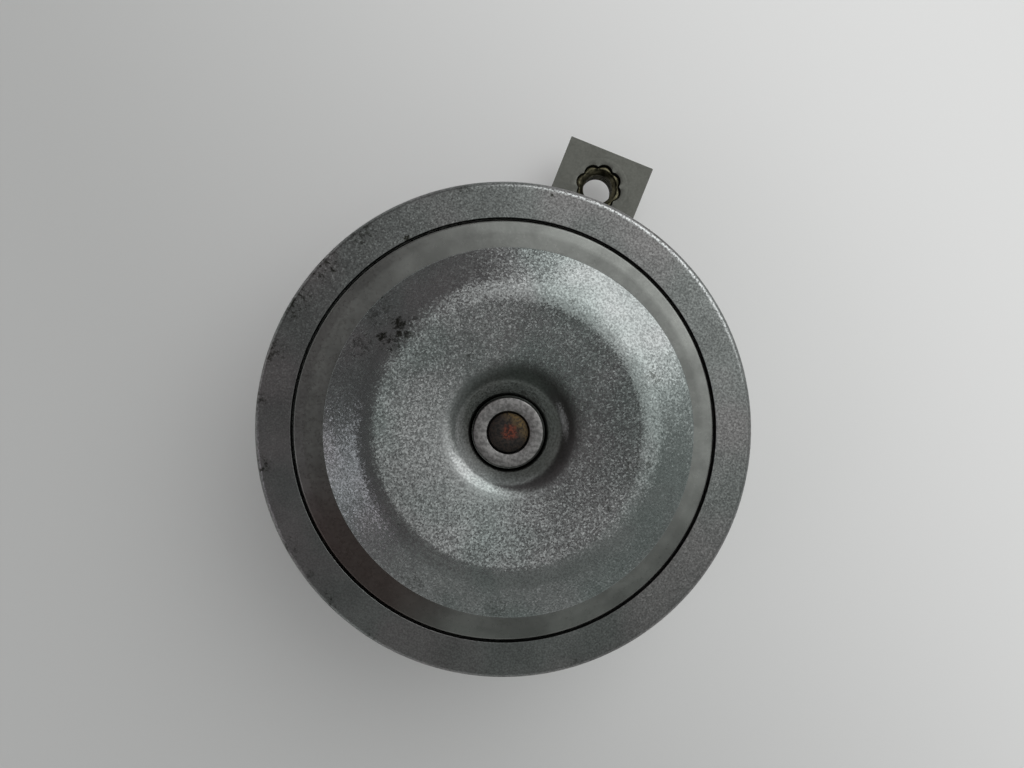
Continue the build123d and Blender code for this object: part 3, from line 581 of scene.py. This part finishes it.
def wound_copper(name, colour):
    """Enamelled copper wire wound in layers: fine glossy ridges around the coil."""
    material, node, shader, place = new_material(name, colour, 0.85, 0.3)
    wire_size = 0.55
    bands = {"Vector": place, "Scale": per(wire_size) / (2 * pi), "Distortion": 0.6, "Detail": 1.0}
    turns = node("TexWave", "Fac", bands, wave_type="BANDS", bands_direction="Z")
    relief = {"Height": turns, "Distance": 0.12 * MM, "Strength": 1.0}
    feed(shader, "Normal", node("Bump", "Normal", relief))
    # Painted shade: the colour is darker in the grooves between the turns.
    ends = {MIX_FIRST: times(colour, 0.6), MIX_SECOND: colour}
    feed(shader, "Base Color", node("Mix", MIX_RESULT, {MIX_SHARE: turns, **ends}, **RGBA))
    return material


# ---------------------------------------------------------------- what a user can change
def length(name, description, default):
    """A length property. Its default is given in millimetres."""
    return bpy.props.FloatProperty(
        name=name, description=description, default=default * MM, min=0, unit="LENGTH"
    )


def colour(name, description, code):
    """A colour property. Its default is given as an sRGB hex value."""
    return bpy.props.FloatVectorProperty(
        name=name,
        description=description,
        subtype="COLOR",
        size=3,
        min=0,
        max=1,
        default=srgb(code),
    )


class HornSizes(bpy.types.PropertyGroup):
    """Sizes of the shown pieces."""

    ring_sheet: length("Ring sheet", "Thickness of the clamp ring's sheet", 1.2)
    ring_roll: length("Ring roll", "Outer radius of the rolled edge", 1.0)
    disc_sheet: length("Disc sheet", "Thickness of the tone disc", 1.6)
    thread_pitch: length("Thread pitch", "Pitch of the thread in the clinch nut", 1.25)


class HornColours(bpy.types.PropertyGroup):
    """Colours of the shown finishes."""

    zinc: colour("Zinc", "Grey of the plated tone disc", "#898d8c")
    ring_zinc: colour("Ring zinc", "Grey of the plated ring and housing", "#767776")
    strip_zinc: colour("Strip zinc", "Grey of the bracket's smooth plating", "#646560")
    steel: colour("Steel", "Satin steel of the diaphragm", "#7b7d7a")
    washer: colour("Washer", "Dull plating of the face washer", "#868584")
    rust: colour("Rust", "Red rust on the stud", "#4a1b08")
    dark_rust: colour("Dark rust", "Olive brown crust on the stud", "#18110b")
    nut: colour("Nut", "Yellowed plating in the clinch nut", "#565343")
    # This colour also paints the shade in the tone disc's pocket and funnel.
    dirt_and_shade: colour("Dirt", "Dry dirt in marks and corners", "#23241c")
    phenolic: colour("Phenolic", "Brown moulded base of the terminals", "#2c211a")
    tin: colour("Tin", "Tinned brass of the terminal blades", "#c9c8c2")


def sizes():
    return bpy.context.scene.horn_sizes


def colours():
    return bpy.context.scene.horn_colours


# ---------------------------------------------------------------- stage
# The camera looks down on the face, leaning and rolled a little from the horn's own axes.
CAMERA_LEAN = radians(1.15)
CAMERA_ROLL = radians(21.9)
CAMERA_DISTANCE = 148.8
CAMERA_SHIFT = (1.72, 9.01)
CAMERA_AIM_HEIGHT = 39.4
CAMERA_LENS = 27.04
CAMERA_SENSOR = 36
# Each lamp's way in the camera's view, elevation, size in metres, power in watts, and tint.
LAMP_DISTANCE = 0.6
KEY_LAMP = (radians(46), radians(42), 0.46, 0.66, (1, 1, 1))
SIDE_LAMP = (radians(200), radians(40), 0.2, 0.14, (0.97, 0.92, 1))
# The daylight's way in the view, its lean from straight above, and the sky's colours.
DAYLIGHT_WAY = radians(41)
DAYLIGHT_LEAN = radians(32.5)
DAYLIGHT_EDGE = (0.785, 0.9)
DAYLIGHT = (1.07, 1.08, 1.07)
DIM = (0.155, 0.14, 0.143)
DIM_LOWER = (0.29, 0.305, 0.295)
DIM_LOWER_WAY = radians(-50)
DIM_LOWER_EDGE = (0.02, 0.25)
HORIZON = (0.78, 0.78, 0.78)
HORIZON_EDGE = (0.2, 0.55)
FLOOR_COLOUR = "#d3d4d3"
FLOOR_ROUGHNESS = 0.9
FLOOR_REACH = 4
# The floor lies just under the lowest face, so that the two don't share a plane.
FLOOR_DROP = 0.05
# Painted glow of the floor: its way in the view, where it starts and ends in millimetres, and its
# strength.
FLOOR_GLOW_WAY = radians(30)
FLOOR_GLOW_EDGE = (-80, 153)
FLOOR_GLOW = 0.29


def camera_axes():
    """Right, up and back of the camera, in the horn's frame."""
    right = Vector((cos(CAMERA_ROLL), sin(CAMERA_ROLL), 0))
    level_up = Vector((-sin(CAMERA_ROLL), cos(CAMERA_ROLL), 0))
    back = Vector((0, 0, 1)) * cos(CAMERA_LEAN) + level_up * sin(CAMERA_LEAN)
    return right, back.cross(right), back


def view_way(angle):
    """Level direction that points so in the camera's view: 0 is right, and it turns upwards."""
    right, up, _ = camera_axes()
    flat = right * cos(angle) + up * sin(angle)
    flat.z = 0
    return flat.normalized()


def soft_lamp(name, way, elevation, size, power, tint):
    """A square soft lamp, aimed at the face from a way given in the camera's view."""
    aim = Vector((0, 0, CAMERA_AIM_HEIGHT * MM))
    away = view_way(way) * cos(elevation) + Vector((0, 0, 1)) * sin(elevation)
    data = bpy.data.lights.new(name, "AREA")
    data.size = size
    data.energy = power
    data.color = tint
    lamp = bpy.data.objects.new(name, data)
    lamp.location = aim + away * LAMP_DISTANCE
    lamp.rotation_mode = "QUATERNION"
    lamp.rotation_quaternion = away.to_track_quat("Z", "Y")
    bpy.context.scene.collection.objects.link(lamp)


def aimed_camera():
    """The camera, at the height and lean from which the face is seen."""
    right, up, back = camera_axes()
    data = bpy.data.cameras.new("camera")
    data.sensor_width = CAMERA_SENSOR
    data.lens = CAMERA_LENS
    data.clip_start = 0.005
    data.clip_end = 20
    camera = bpy.data.objects.new("camera", data)
    aim = Vector((0, 0, CAMERA_AIM_HEIGHT))
    spot = aim + back * CAMERA_DISTANCE + right * CAMERA_SHIFT[0] + up * CAMERA_SHIFT[1]
    turned = Matrix((right, up, back)).transposed().to_4x4()
    camera.matrix_world = Matrix.Translation(spot * MM) @ turned
    bpy.context.scene.collection.objects.link(camera)
    bpy.context.scene.camera = camera


def lit_room():
    """Surroundings that the metal reflects."""
    # The room is pale at the horizon. Overhead it is dim, apart from a broad patch of daylight
    # on one side whose edge lies just over the horn.
    world = bpy.data.worlds.new("room")
    bpy.context.scene.world = world
    world.use_nodes = True
    node = partial(add, world.node_tree)
    way = node("TexCoord", "Generated")
    patch_way = view_way(DAYLIGHT_WAY) * sin(DAYLIGHT_LEAN)
    patch_way.z = cos(DAYLIGHT_LEAN)
    nearness = node("VectorMath", "Value", (way, patch_way), operation="DOT_PRODUCT")
    lower = (way, view_way(DIM_LOWER_WAY))
    lower = node("VectorMath", "Value", lower, operation="DOT_PRODUCT")
    tone = DIM
    for value, edge, other in (
        (lower, DIM_LOWER_EDGE, DIM_LOWER),
        (nearness, DAYLIGHT_EDGE, DAYLIGHT),
    ):
        share = node("MapRange", 0, (value, *edge), **SMOOTH)
        layers = {MIX_SHARE: share, MIX_FIRST: tone, MIX_SECOND: other}
        tone = node("Mix", MIX_RESULT, layers, **RGBA)
    height = node("SeparateXYZ", "Z", (way,))
    share = node("MapRange", 0, (height, *HORIZON_EDGE), **SMOOTH)
    layers = {MIX_SHARE: share, MIX_FIRST: HORIZON, MIX_SECOND: tone}
    feed(world.node_tree.nodes["Background"], "Color", node("Mix", MIX_RESULT, layers, **RGBA))


def foam_floor():
    """A plain floor of packing foam, with a painted glow."""
    bm = bmesh.new()
    bmesh.ops.create_grid(bm, x_segments=1, y_segments=1, size=FLOOR_REACH)
    bmesh.ops.translate(bm, vec=(0, 0, -FLOOR_DROP * MM), verts=bm.verts)
    mesh = bpy.data.meshes.new("floor")
    bm.to_mesh(mesh)
    bm.free()
    floor = bpy.data.objects.new("floor", mesh)
    bpy.context.scene.collection.objects.link(floor)
    # Matt white packing foam: soft and even, with no shine.
    colour = srgb(FLOOR_COLOUR)
    material, node, shader, place = new_material("foam_matt", colour, 0.0, FLOOR_ROUGHNESS)
    # The foam is paler towards the window, and that paleness is painted light: a glow that shows to
    # the eye and in the metal, and puts no light on the horn.
    along = (place, view_way(FLOOR_GLOW_WAY))
    along = node("VectorMath", "Value", along, operation="DOT_PRODUCT")
    start, end = FLOOR_GLOW_EDGE
    glow = node("MapRange", 0, (along, start * MM, end * MM, 0, FLOOR_GLOW), **SMOOTH)
    seen = node("LightPath", "Is Camera Ray")
    for ray in ("Is Glossy Ray", "Is Transmission Ray"):
        seen = node("Math", 0, (seen, node("LightPath", ray)), operation="MAXIMUM")
    shader.inputs["Emission Color"].default_value = (1, 1, 1, 1)
    feed(shader, "Emission Strength", node("Math", 0, (glow, seen), operation="MULTIPLY"))
    mesh.materials.append(material)


class HORN_OT_stage(bpy.types.Operator):
    """Sets up the camera, the lamps, the surroundings and the floor"""

    bl_idname = "horn.stage"
    bl_label = "Stage"

    def execute(self, context):
        context.scene.view_settings.view_transform = "Standard"
        aimed_camera()
        soft_lamp("key_lamp", *KEY_LAMP)
        soft_lamp("side_lamp", *SIDE_LAMP)
        lit_room()
        foam_floor()
        return {"FINISHED"}


# ---------------------------------------------------------------- face
# Width of the ring's flat face, how far its rounded edge stands in, and the groove inside it.
RING_FACE = 7.25
RING_INSET = 0.33
RING_CRIMP = 4.2
GROOVE = 0.5
DISC_BORE = 3.35
DIAPHRAGM_SHEET = 0.4
DIAPHRAGM_RISE = 1.9
DIAPHRAGM_LAND = 11


class HORN_OT_clamp_ring(bpy.types.Operator):
    """Makes the rolled clamp ring with its crimped back"""

    bl_idname = "horn.clamp_ring"
    bl_label = "Clamp ring"

    def execute(self, context):
        size, tint = sizes(), colours()
        radius, top, lip = RING_HIGH.x, RING_HIGH.z, RING_LOW.z
        corners = [
            (radius - RING_FACE, top),
            (radius - RING_INSET, top, size.ring_roll / MM, 10),
            (radius, top - 4, 4.0, 4),
            (radius, lip, 1.4, 8),
            (radius - RING_CRIMP, lip),
        ]
        bm = spun(sheet_outline(corners, size.ring_sheet / MM, 0.1))
        finish = plated_zinc(
            "zinc_plated_ring",
            tint.ring_zinc,
            grain=0.26,
            tilt=0.13,
            roughness=0.34,
            marks=RING_DIRT,
            grime=RING_GRIME,
            # Painted highlight along the rolled edge, on the side toward the key lamp.
            painted_glint=(view_way(radians(54)), radius - 1.1, 0.45, "#bdc0c0"),
        )
        finish_piece(bm, "ring_rolled", "clamp_ring", finish)
        return {"FINISHED"}


class HORN_OT_tone_disc(bpy.types.Operator):
    """Makes the dished tone disc with the pocket in its sunk middle"""

    bl_idname = "horn.tone_disc"
    bl_label = "Tone disc"

    def execute(self, context):
        size, tint = sizes(), colours()
        sheet = size.disc_sheet / MM
        middle = SPACER_HIGH.z + sheet
        pocket = WASHER_LOW.z
        radius = (DISC_HIGH.x - DISC_LOW.x) / 2
        corners = [
            (DISC_BORE, middle),
            (7.75, middle, 0.8),
            (10.7, middle + 3.02, 5.2, 16),
            (26.4, middle + 4.9, 9.5, 20),
            (radius, middle + 1.9),
        ]
        outline = sheet_outline(corners, sheet, 0.2)
        # The pocket is coined into the middle, so its wall is steep and its rim crisp.
        outline[:2] = [
            (DISC_BORE, pocket, 0.1, 2),
            (6.95, pocket, 0.1, 3),
            (7.15, middle - 0.1, 0.35, 6),
        ]
        bm = spun(outline, SET_CENTRE)
        across, along = SET_CENTRE
        finish = plated_zinc(
            "zinc_plated_disc",
            tint.zinc,
            grain=0.26,
            tilt=0.165,
            roughness=0.25,
            marks=DISC_DIRT,
            grime=DISC_GRIME,
            smooth=(SET_CENTRE, 10.5, 15.5, 0.72, 0.3),
            # Painted shade in the pocket and up the funnel wall, reaching further on the side away
            # from the light.
            shade=((across + 0.9, along + 2.4), 9.2, 13.2, 0.75),
        )
        finish_piece(bm, "disc_dished", "tone_disc", finish, "vibrating_set")
        return {"FINISHED"}


class HORN_OT_diaphragm(bpy.types.Operator):
    """Makes the spring steel diaphragm"""

    bl_idname = "horn.diaphragm"
    bl_label = "Diaphragm"

    def execute(self, context):
        top = DIAPHRAGM_HIGH.z
        rim_top = top - DIAPHRAGM_RISE
        shoulder = RING_HIGH.x - RING_FACE - GROOVE
        land = SPACER_LOW.z
        corners = [
            (3.6, land),
            (DIAPHRAGM_LAND, land, 4),
            (18, top, 4),
            (shoulder - 2.2, top, 7.0, 8),
            (shoulder, top - 0.22, 0.5, 6),
            (shoulder + 0.2, rim_top, 0.3, 4),
            (DIAPHRAGM_HIGH.x, rim_top),
        ]
        bm = spun(sheet_outline(corners, DIAPHRAGM_SHEET, 0.08))
        finish = satin_steel(
            "spring_steel_satin",
            colours().steel,
            roughness=0.32,
            mottle=0.16,
            size=9,
            # Painted shade, darker and browner towards the lower left of the view.
            painted_shade=((-18, -36), 8, 26, 0.75, "#4d3f3b"),
        )
        finish_piece(bm, "diaphragm_sheet", "diaphragm", finish)
        return {"FINISHED"}


class HORN_OT_washer_and_stud(bpy.types.Operator):
    """Makes the face washer and the armature with its peened stud"""

    bl_idname = "horn.washer_and_stud"
    bl_label = "Washer and stud"

    def execute(self, context):
        tint = colours()
        seat, top = WASHER_LOW.z, WASHER_HIGH.z
        radius = (WASHER_HIGH.x - WASHER_LOW.x) / 2
        washer = [
            (DISC_BORE, seat, 0.05, 2),
            (radius, seat, 0.15, 3),
            (radius, top, 0.25, 6),
            (4.1, top, 0.12, 3),
            (3.9, top - 0.5, 0.1, 2),
        ]
        finish = satin_steel(
            "washer_steel_plated", tint.washer, roughness=0.36, mottle=0.32, size=0.7
        )
        finish_piece(
            spun(washer, SET_CENTRE), "washer_turned", "front_washer", finish, "vibrating_set"
        )
        low, high = ARMATURE_LOW.z, ARMATURE_HIGH.z
        slug_top = low + 9
        spigot_top = slug_top + 1.6
        head = seat + 1.2
        stud = [
            (0, low),
            (8.2, low, 0.4, 3),
            (8.2, slug_top, 0.2, 2),
            (5, slug_top),
            (5, spigot_top, 0.2, 2),
            (3.25, spigot_top),
            (3.25, seat),
            (3.8, head, 0.35, 5),
            (2.6, high - 0.12, 3.0, 8),
            (0, high),
        ]
        # Painted highlight: the stud is paler on this side, in the colour given next.
        light_way = view_way(radians(40))
        finish = rusted_steel(
            "stud_steel_rusted", SET_CENTRE, light_way, srgb("#665436"), tint.rust, tint.dark_rust
        )
        finish_piece(
            spun(stud, SET_CENTRE, SMALL_STEPS), "stud_peened", "armature", finish, "vibrating_set"
        )
        return {"FINISHED"}


# ---------------------------------------------------------------- bracket
SWAGE_RING = (6.3, 6.6, 6.8, 7.1)
SWAGE_DEPTH = 0.02
# The nut's lobes: how far they reach, the radius of each, and how many there are.
LOBES = (5.25, 2.0, 8)
LOBE_GAP = 0.05
NUT_SINK = 0.45
# Hole for the rear bolt, in the bracket and in both washers.
BOLT_HOLE = 4.3


class HORN_OT_bracket(bpy.types.Operator):
    """Makes the flat bracket with its lobed hole"""

    bl_idname = "horn.bracket"
    bl_label = "Bracket"

    def execute(self, context):
        bottom, top = BRACKET_LOW.z, BRACKET_HIGH.z
        half, reach = BRACKET_HIGH.x, BRACKET_HIGH.y
        bm = bmesh.new()
        reach_out, lobe_radius, count = LOBES
        shape = lobed(reach_out + LOBE_GAP, lobe_radius + LOBE_GAP, count, top)
        hole = loop(bm, shape, NUT_CENTRE, SMALL_STEPS)
        levels = (top, top - SWAGE_DEPTH, top - SWAGE_DEPTH, top)
        rings = [plain(radius, level) for radius, level in zip(SWAGE_RING, levels)]
        swage = grown(bm, hole, rings, NUT_CENTRE)
        bolt_hole = loop(bm, plain(BOLT_HOLE, top), (0, 0), SMALL_STEPS)
        known = set(bm.edges)
        corners = [
            (-half, -half, half, 32),
            (half, -half, half, 32),
            (half, reach, 0.15, 3),
            (-half, reach, 0.15, 3),
        ]
        wire(bm, corners)
        border = [edge for edge in bm.edges if edge not in known]
        verts = {vert for edge in border for vert in edge.verts}
        for vert in verts:
            vert.co = (vert.co.x, vert.co.z, top)
        filled(bm, swage, bolt_hole, border)
        made = bmesh.ops.extrude_face_region(bm, geom=bm.faces[:])["geom"]
        for item in made:
            if isinstance(item, bmesh.types.BMVert):
                item.co.z = bottom
        finish = satin_steel(
            "bracket_zinc_smooth", colours().strip_zinc, roughness=0.5, mottle=0.06, size=5
        )
        finish_piece(bm, "bracket_strip", "bracket", finish, bevel=0.1)
        return {"FINISHED"}


def threaded_wall(bm, centre, bottom, top, pitch, minor, major, mouth):
    """A threaded bore, cut flat at its ends and countersunk there, as two open end loops."""
    turns = int((top - bottom) / pitch) + 3
    start = bottom - pitch
    points = []
    for turn in range(turns):
        level = start + turn * pitch
        points += [(minor, level), (minor, level + pitch * 0.2), (major, level + pitch * 0.55)]
        points += [(major, level + pitch * 0.65)]
    wire(bm, points, closed=False)
    bmesh.ops.translate(bm, vec=(*centre, 0), verts=bm.verts)
    bmesh.ops.spin(
        bm,
        geom=bm.verts[:] + bm.edges[:],
        cent=(*centre, 0),
        axis=(0, 0, 1),
        dvec=(0, 0, pitch / SMALL_STEPS),
        angle=2 * pi,
        steps=SMALL_STEPS,
        use_merge=False,
    )
    bmesh.ops.remove_doubles(bm, verts=bm.verts, dist=0.01)
    for level, way in ((bottom, -1), (top, 1)):
        bmesh.ops.bisect_plane(
            bm,
            geom=bm.verts[:] + bm.edges[:] + bm.faces[:],
            plane_co=(0, 0, level),
            plane_no=(0, 0, way),
            clear_outer=True,
        )
    for vert in bm.verts:
        away = Vector((vert.co.x - centre[0], vert.co.y - centre[1]))
        depth = min(vert.co.z - bottom, top - vert.co.z)
        least = mouth - depth
        if away.length < least:
            away *= least / away.length
            vert.co.x, vert.co.y = centre[0] + away.x, centre[1] + away.y
    # The countersink can bring corners of an end together, and a fill leaves a gap there.
    bmesh.ops.remove_doubles(bm, verts=bm.verts, dist=0.001)
    settle(bm)
    rim = [edge for edge in bm.edges if edge.is_boundary]
    return [
        [edge for edge in rim if all(abs(vert.co.z - level) < 0.001 for vert in edge.verts)]
        for level in (bottom, top)
    ]


class HORN_OT_clinch_nut(bpy.types.Operator):
    """Makes the lobed clinch nut with its thread"""

    bl_idname = "horn.clinch_nut"
    bl_label = "Clinch nut"

    def execute(self, context):
        bottom, top = NUT_LOW.z, NUT_HIGH.z - NUT_SINK
        radius = (NUT_HIGH.x - NUT_LOW.x) / 2
        shoulder = BRACKET_LOW.z
        pitch = sizes().thread_pitch / MM
        bm = bmesh.new()
        low_end, high_end = threaded_wall(
            bm, NUT_CENTRE, bottom, top, pitch, minor=3.32, major=4.05, mouth=4.35
        )
        first = loop(bm, plain(radius - 0.8, bottom), NUT_CENTRE, SMALL_STEPS)
        filled(bm, low_end, first)
        shapes = [
            plain(radius, bottom + 0.8),
            plain(radius, shoulder),
            lobed(*LOBES, shoulder),
            lobed(*LOBES, top - 0.4),
            lobed(LOBES[0] - 0.12, LOBES[1] - 0.1, LOBES[2], top - 0.15),
            lobed(LOBES[0] - 0.38, LOBES[1] - 0.28, LOBES[2], top),
        ]
        last = grown(bm, first, shapes, NUT_CENTRE)
        filled(bm, high_end, last)
        finish = satin_steel(
            "nut_zinc_yellowed", colours().nut, roughness=0.36, mottle=0.6, size=1.4
        )
        finish_piece(bm, "clinch_nut_threaded", "clinch_nut", finish, bevel=0.08)
        return {"FINISHED"}


# ---------------------------------------------------------------- back
# Height from the foot of the housing's cup to its ledge.
CUP_DEPTH = 15.3


class HORN_OT_housing(bpy.types.Operator):
    """Makes the stepped housing"""

    bl_idname = "horn.housing"
    bl_label = "Housing"

    def execute(self, context):
        floor, flange = HOUSING_LOW.z, HOUSING_HIGH.z
        sheet = 1.2
        ledge = floor + CUP_DEPTH
        corners = [
            (HOUSING_HIGH.x, flange - sheet),
            (41.6, flange - sheet, 2.0, 8),
            (37.5, ledge, 3.0, 8),
            (25.2, ledge, 0.8, 6),
            (24.6, floor, 3.4, 12),
            (BOLT_HOLE, floor),
        ]
        bm = spun(sheet_outline(corners, sheet, 0.2))
        finish = plated_zinc(
            "zinc_plated_housing", colours().ring_zinc, grain=0.3, tilt=0.2, roughness=0.4
        )
        finish_piece(bm, "housing_pressed", "housing", finish)
        return {"FINISHED"}


class HORN_OT_rear_fastening(bpy.types.Operator):
    """Makes the rear bolt with its spring washer and plain washer"""

    bl_idname = "horn.rear_fastening"
    bl_label = "Rear fastening"

    def execute(self, context):
        finish = satin_steel(
            "bolt_zinc_bright", srgb("#a9adb0"), roughness=0.3, mottle=0.1, size=4
        )
        flats = BOLT_HIGH.y * 2
        head = SPRING_LOW.z
        chamfered = flats / 2 * 0.95
        bm = bmesh.new()
        first = loop(bm, plain(chamfered, 0), (0, 0), SMALL_STEPS)
        filled(bm, first)
        shapes = [
            hexed(flats, 0, chamfered),
            hexed(flats, head, chamfered, -1),
            plain(chamfered, head),
            plain(4, head),
            plain(4, BOLT_HIGH.z - 0.8),
            plain(3.2, BOLT_HIGH.z),
        ]
        last = grown(bm, first, shapes, (0, 0))
        filled(bm, last)
        finish_piece(bm, "bolt_hexagon", "rear_bolt", finish, bevel=0.12)
        bottom, top = PLAIN_LOW.z, PLAIN_HIGH.z
        outer = PLAIN_HIGH.x
        corners = [
            (BOLT_HOLE, bottom, 0.1, 2),
            (outer, bottom, 0.25, 3),
            (outer, top, 0.25, 3),
            (BOLT_HOLE, top, 0.1, 2),
        ]
        finish_piece(spun(corners), "washer_plain", "plain_washer", finish)
        bm = bmesh.new()
        bottom, top = SPRING_LOW.z, SPRING_HIGH.z
        outer = SPRING_HIGH.x
        corners = [
            (BOLT_HOLE, bottom, 0.15, 2),
            (outer, bottom, 0.2, 3),
            (outer, top, 0.2, 3),
            (BOLT_HOLE, top, 0.15, 2),
        ]
        wire(bm, corners)
        section = bmesh.ops.contextual_create(bm, geom=bm.edges[:])["faces"]
        gap = radians(10)
        turned = Matrix.Rotation(-pi / 2 + gap / 2, 3, "Z")
        bmesh.ops.rotate(bm, verts=bm.verts, cent=(0, 0, 0), matrix=turned)
        bmesh.ops.spin(
            bm,
            geom=section + bm.verts[:] + bm.edges[:],
            cent=(0, 0, 0),
            axis=(0, 0, 1),
            angle=2 * pi - gap,
            steps=SMALL_STEPS,
        )
        finish = satin_steel(
            "spring_steel_dark", srgb("#5c5e60"), roughness=0.4, mottle=0.15, size=3
        )
        finish_piece(bm, "washer_split", "spring_washer", finish)
        return {"FINISHED"}


class HORN_OT_adjuster(bpy.types.Operator):
    """Makes the contact adjuster's nut and screw"""

    bl_idname = "horn.adjuster"
    bl_label = "Adjuster"

    def execute(self, context):
        finish = satin_steel(
            "adjuster_brass_dull", srgb("#8a8064"), roughness=0.4, mottle=0.2, size=3
        )
        for node, name in (
            ("adjusting_nut", "adjuster_nut"),
            ("adjusting_screw", "adjuster_screw"),
        ):
            finish_piece(from_frame(node), name, node, finish, bevel=0.12, bevel_angle=40)
        return {"FINISHED"}


class HORN_OT_terminals(bpy.types.Operator):
    """Makes the terminal base and its two blades"""

    bl_idname = "horn.terminals"
    bl_label = "Terminals"

    def execute(self, context):
        tint = colours()
        base = moulded(
            "phenolic_moulded", tint.phenolic, roughness=0.45, speckle=0.25, size=0.5, depth=0.02
        )
        blade = satin_steel("brass_tinned", tint.tin, roughness=0.28, mottle=0.12, size=3)
        for node, name, finish in (
            ("terminal_base", "terminal_block", base),
            ("terminal_blade_left", "blade_left", blade),
            ("terminal_blade_right", "blade_right", blade),
        ):
            finish_piece(from_frame(node), name, node, finish, bevel=0.15, bevel_angle=40)
        return {"FINISHED"}


class HORN_OT_rivets(bpy.types.Operator):
    """Makes the rivets of the terminals and the field plate"""

    bl_idname = "horn.rivets"
    bl_label = "Rivets"

    def execute(self, context):
        finish = satin_steel(
            "rivet_steel_plated", srgb("#8f9294"), roughness=0.36, mottle=0.15, size=2
        )
        for node, name in (
            ("terminal_rivets", "terminal_rivets_domed"),
            ("field_plate_rivets", "plate_rivets_domed"),
        ):
            finish_piece(from_frame(node), name, node, finish, bevel=0.08, bevel_angle=50)
        return {"FINISHED"}


# ---------------------------------------------------------------- inside
class HORN_OT_inside(bpy.types.Operator):
    """Gives the pieces inside their materials"""

    bl_idname = "horn.inside"
    bl_label = "Inside pieces"

    def execute(self, context):
        # Slot, name, colour, roughness, mottle and size of its clouds in millimetres.
        metals = (
            ("washer_zinc", "washer_zinc_dull", "#8d8f94", 0.42, 0.15, 3),
            ("magnet_iron", "soft_iron_turned", "#6f7072", 0.45, 0.15, 4),
            ("rivet_steel", "rivet_steel_bare", "#85878a", 0.4, 0.15, 2),
            ("spring_bronze", "phosphor_bronze_rolled", "#a5744a", 0.3, 0.1, 4),
            ("arm_brass", "brass_stamped", "#b0935a", 0.32, 0.1, 4),
            ("contact_silver", "silver_contact", "#c9c7c3", 0.25, 0.1, 2),
        )
        # Slot, name, colour, roughness, speckle, and the speckle's size and depth.
        boards = (
            ("gasket_fibre", "gasket_fibre_pressed", "#4a3a2c", 0.85, 0.3, 0.8, 0.05),
            ("phenolic", "phenolic_paper_cut", "#6b4526", 0.55, 0.2, 0.7, 0.02),
            ("bobbin_nylon", "nylon_moulded", "#d8d2c0", 0.4, 0.05, 0.8, 0.01),
            ("terminal_phenolic", "phenolic_plate_cut", "#3a2a1e", 0.5, 0.2, 0.6, 0.02),
        )
        finishes = {"enamelled_copper": wound_copper("copper_enamelled", srgb("#8a4526"))}
        for make, rows in ((satin_steel, metals), (moulded, boards)):
            for slot, name, code, *looks in rows:
                finishes[slot] = make(name, srgb(code), *looks)
        for name, node in frame["nodes"].items():
            if not node.hide_render:
                finish = finishes[SLOT_OF[name]]
                node.data.materials.clear()
                node.data.materials.append(finish)
        return {"FINISHED"}


# ---------------------------------------------------------------- add-on
PIECE_OPERATORS = (
    HORN_OT_clamp_ring,
    HORN_OT_tone_disc,
    HORN_OT_diaphragm,
    HORN_OT_washer_and_stud,
    HORN_OT_bracket,
    HORN_OT_clinch_nut,
    HORN_OT_housing,
    HORN_OT_rear_fastening,
    HORN_OT_adjuster,
    HORN_OT_terminals,
    HORN_OT_rivets,
    HORN_OT_inside,
)


class HORN_PT_panel(bpy.types.Panel):
    """Lists the horn's sizes, colours and pieces"""

    bl_idname = "HORN_PT_panel"
    bl_label = "Car horn"
    bl_space_type = "VIEW_3D"
    bl_region_type = "UI"
    bl_category = "Horn"

    def draw(self, context):
        layout = self.layout
        for group in (context.scene.horn_sizes, context.scene.horn_colours):
            for name in type(group).__annotations__:
                layout.prop(group, name)
        for operator in (HORN_OT_stage, *PIECE_OPERATORS):
            layout.operator(operator.bl_idname)


CLASSES = (HornSizes, HornColours, HORN_OT_stage, *PIECE_OPERATORS, HORN_PT_panel)


def register():
    for each in CLASSES:
        bpy.utils.register_class(each)
    bpy.types.Scene.horn_sizes = bpy.props.PointerProperty(type=HornSizes)
    bpy.types.Scene.horn_colours = bpy.props.PointerProperty(type=HornColours)


def unregister():
    del bpy.types.Scene.horn_colours
    del bpy.types.Scene.horn_sizes
    for each in reversed(CLASSES):
        bpy.utils.unregister_class(each)


def main():
    register()
    bpy.ops.horn.stage()
    for operator in PIECE_OPERATORS:
        getattr(bpy.ops.horn, operator.bl_idname.split(".")[1])()


if __name__ == "__main__":
    main()
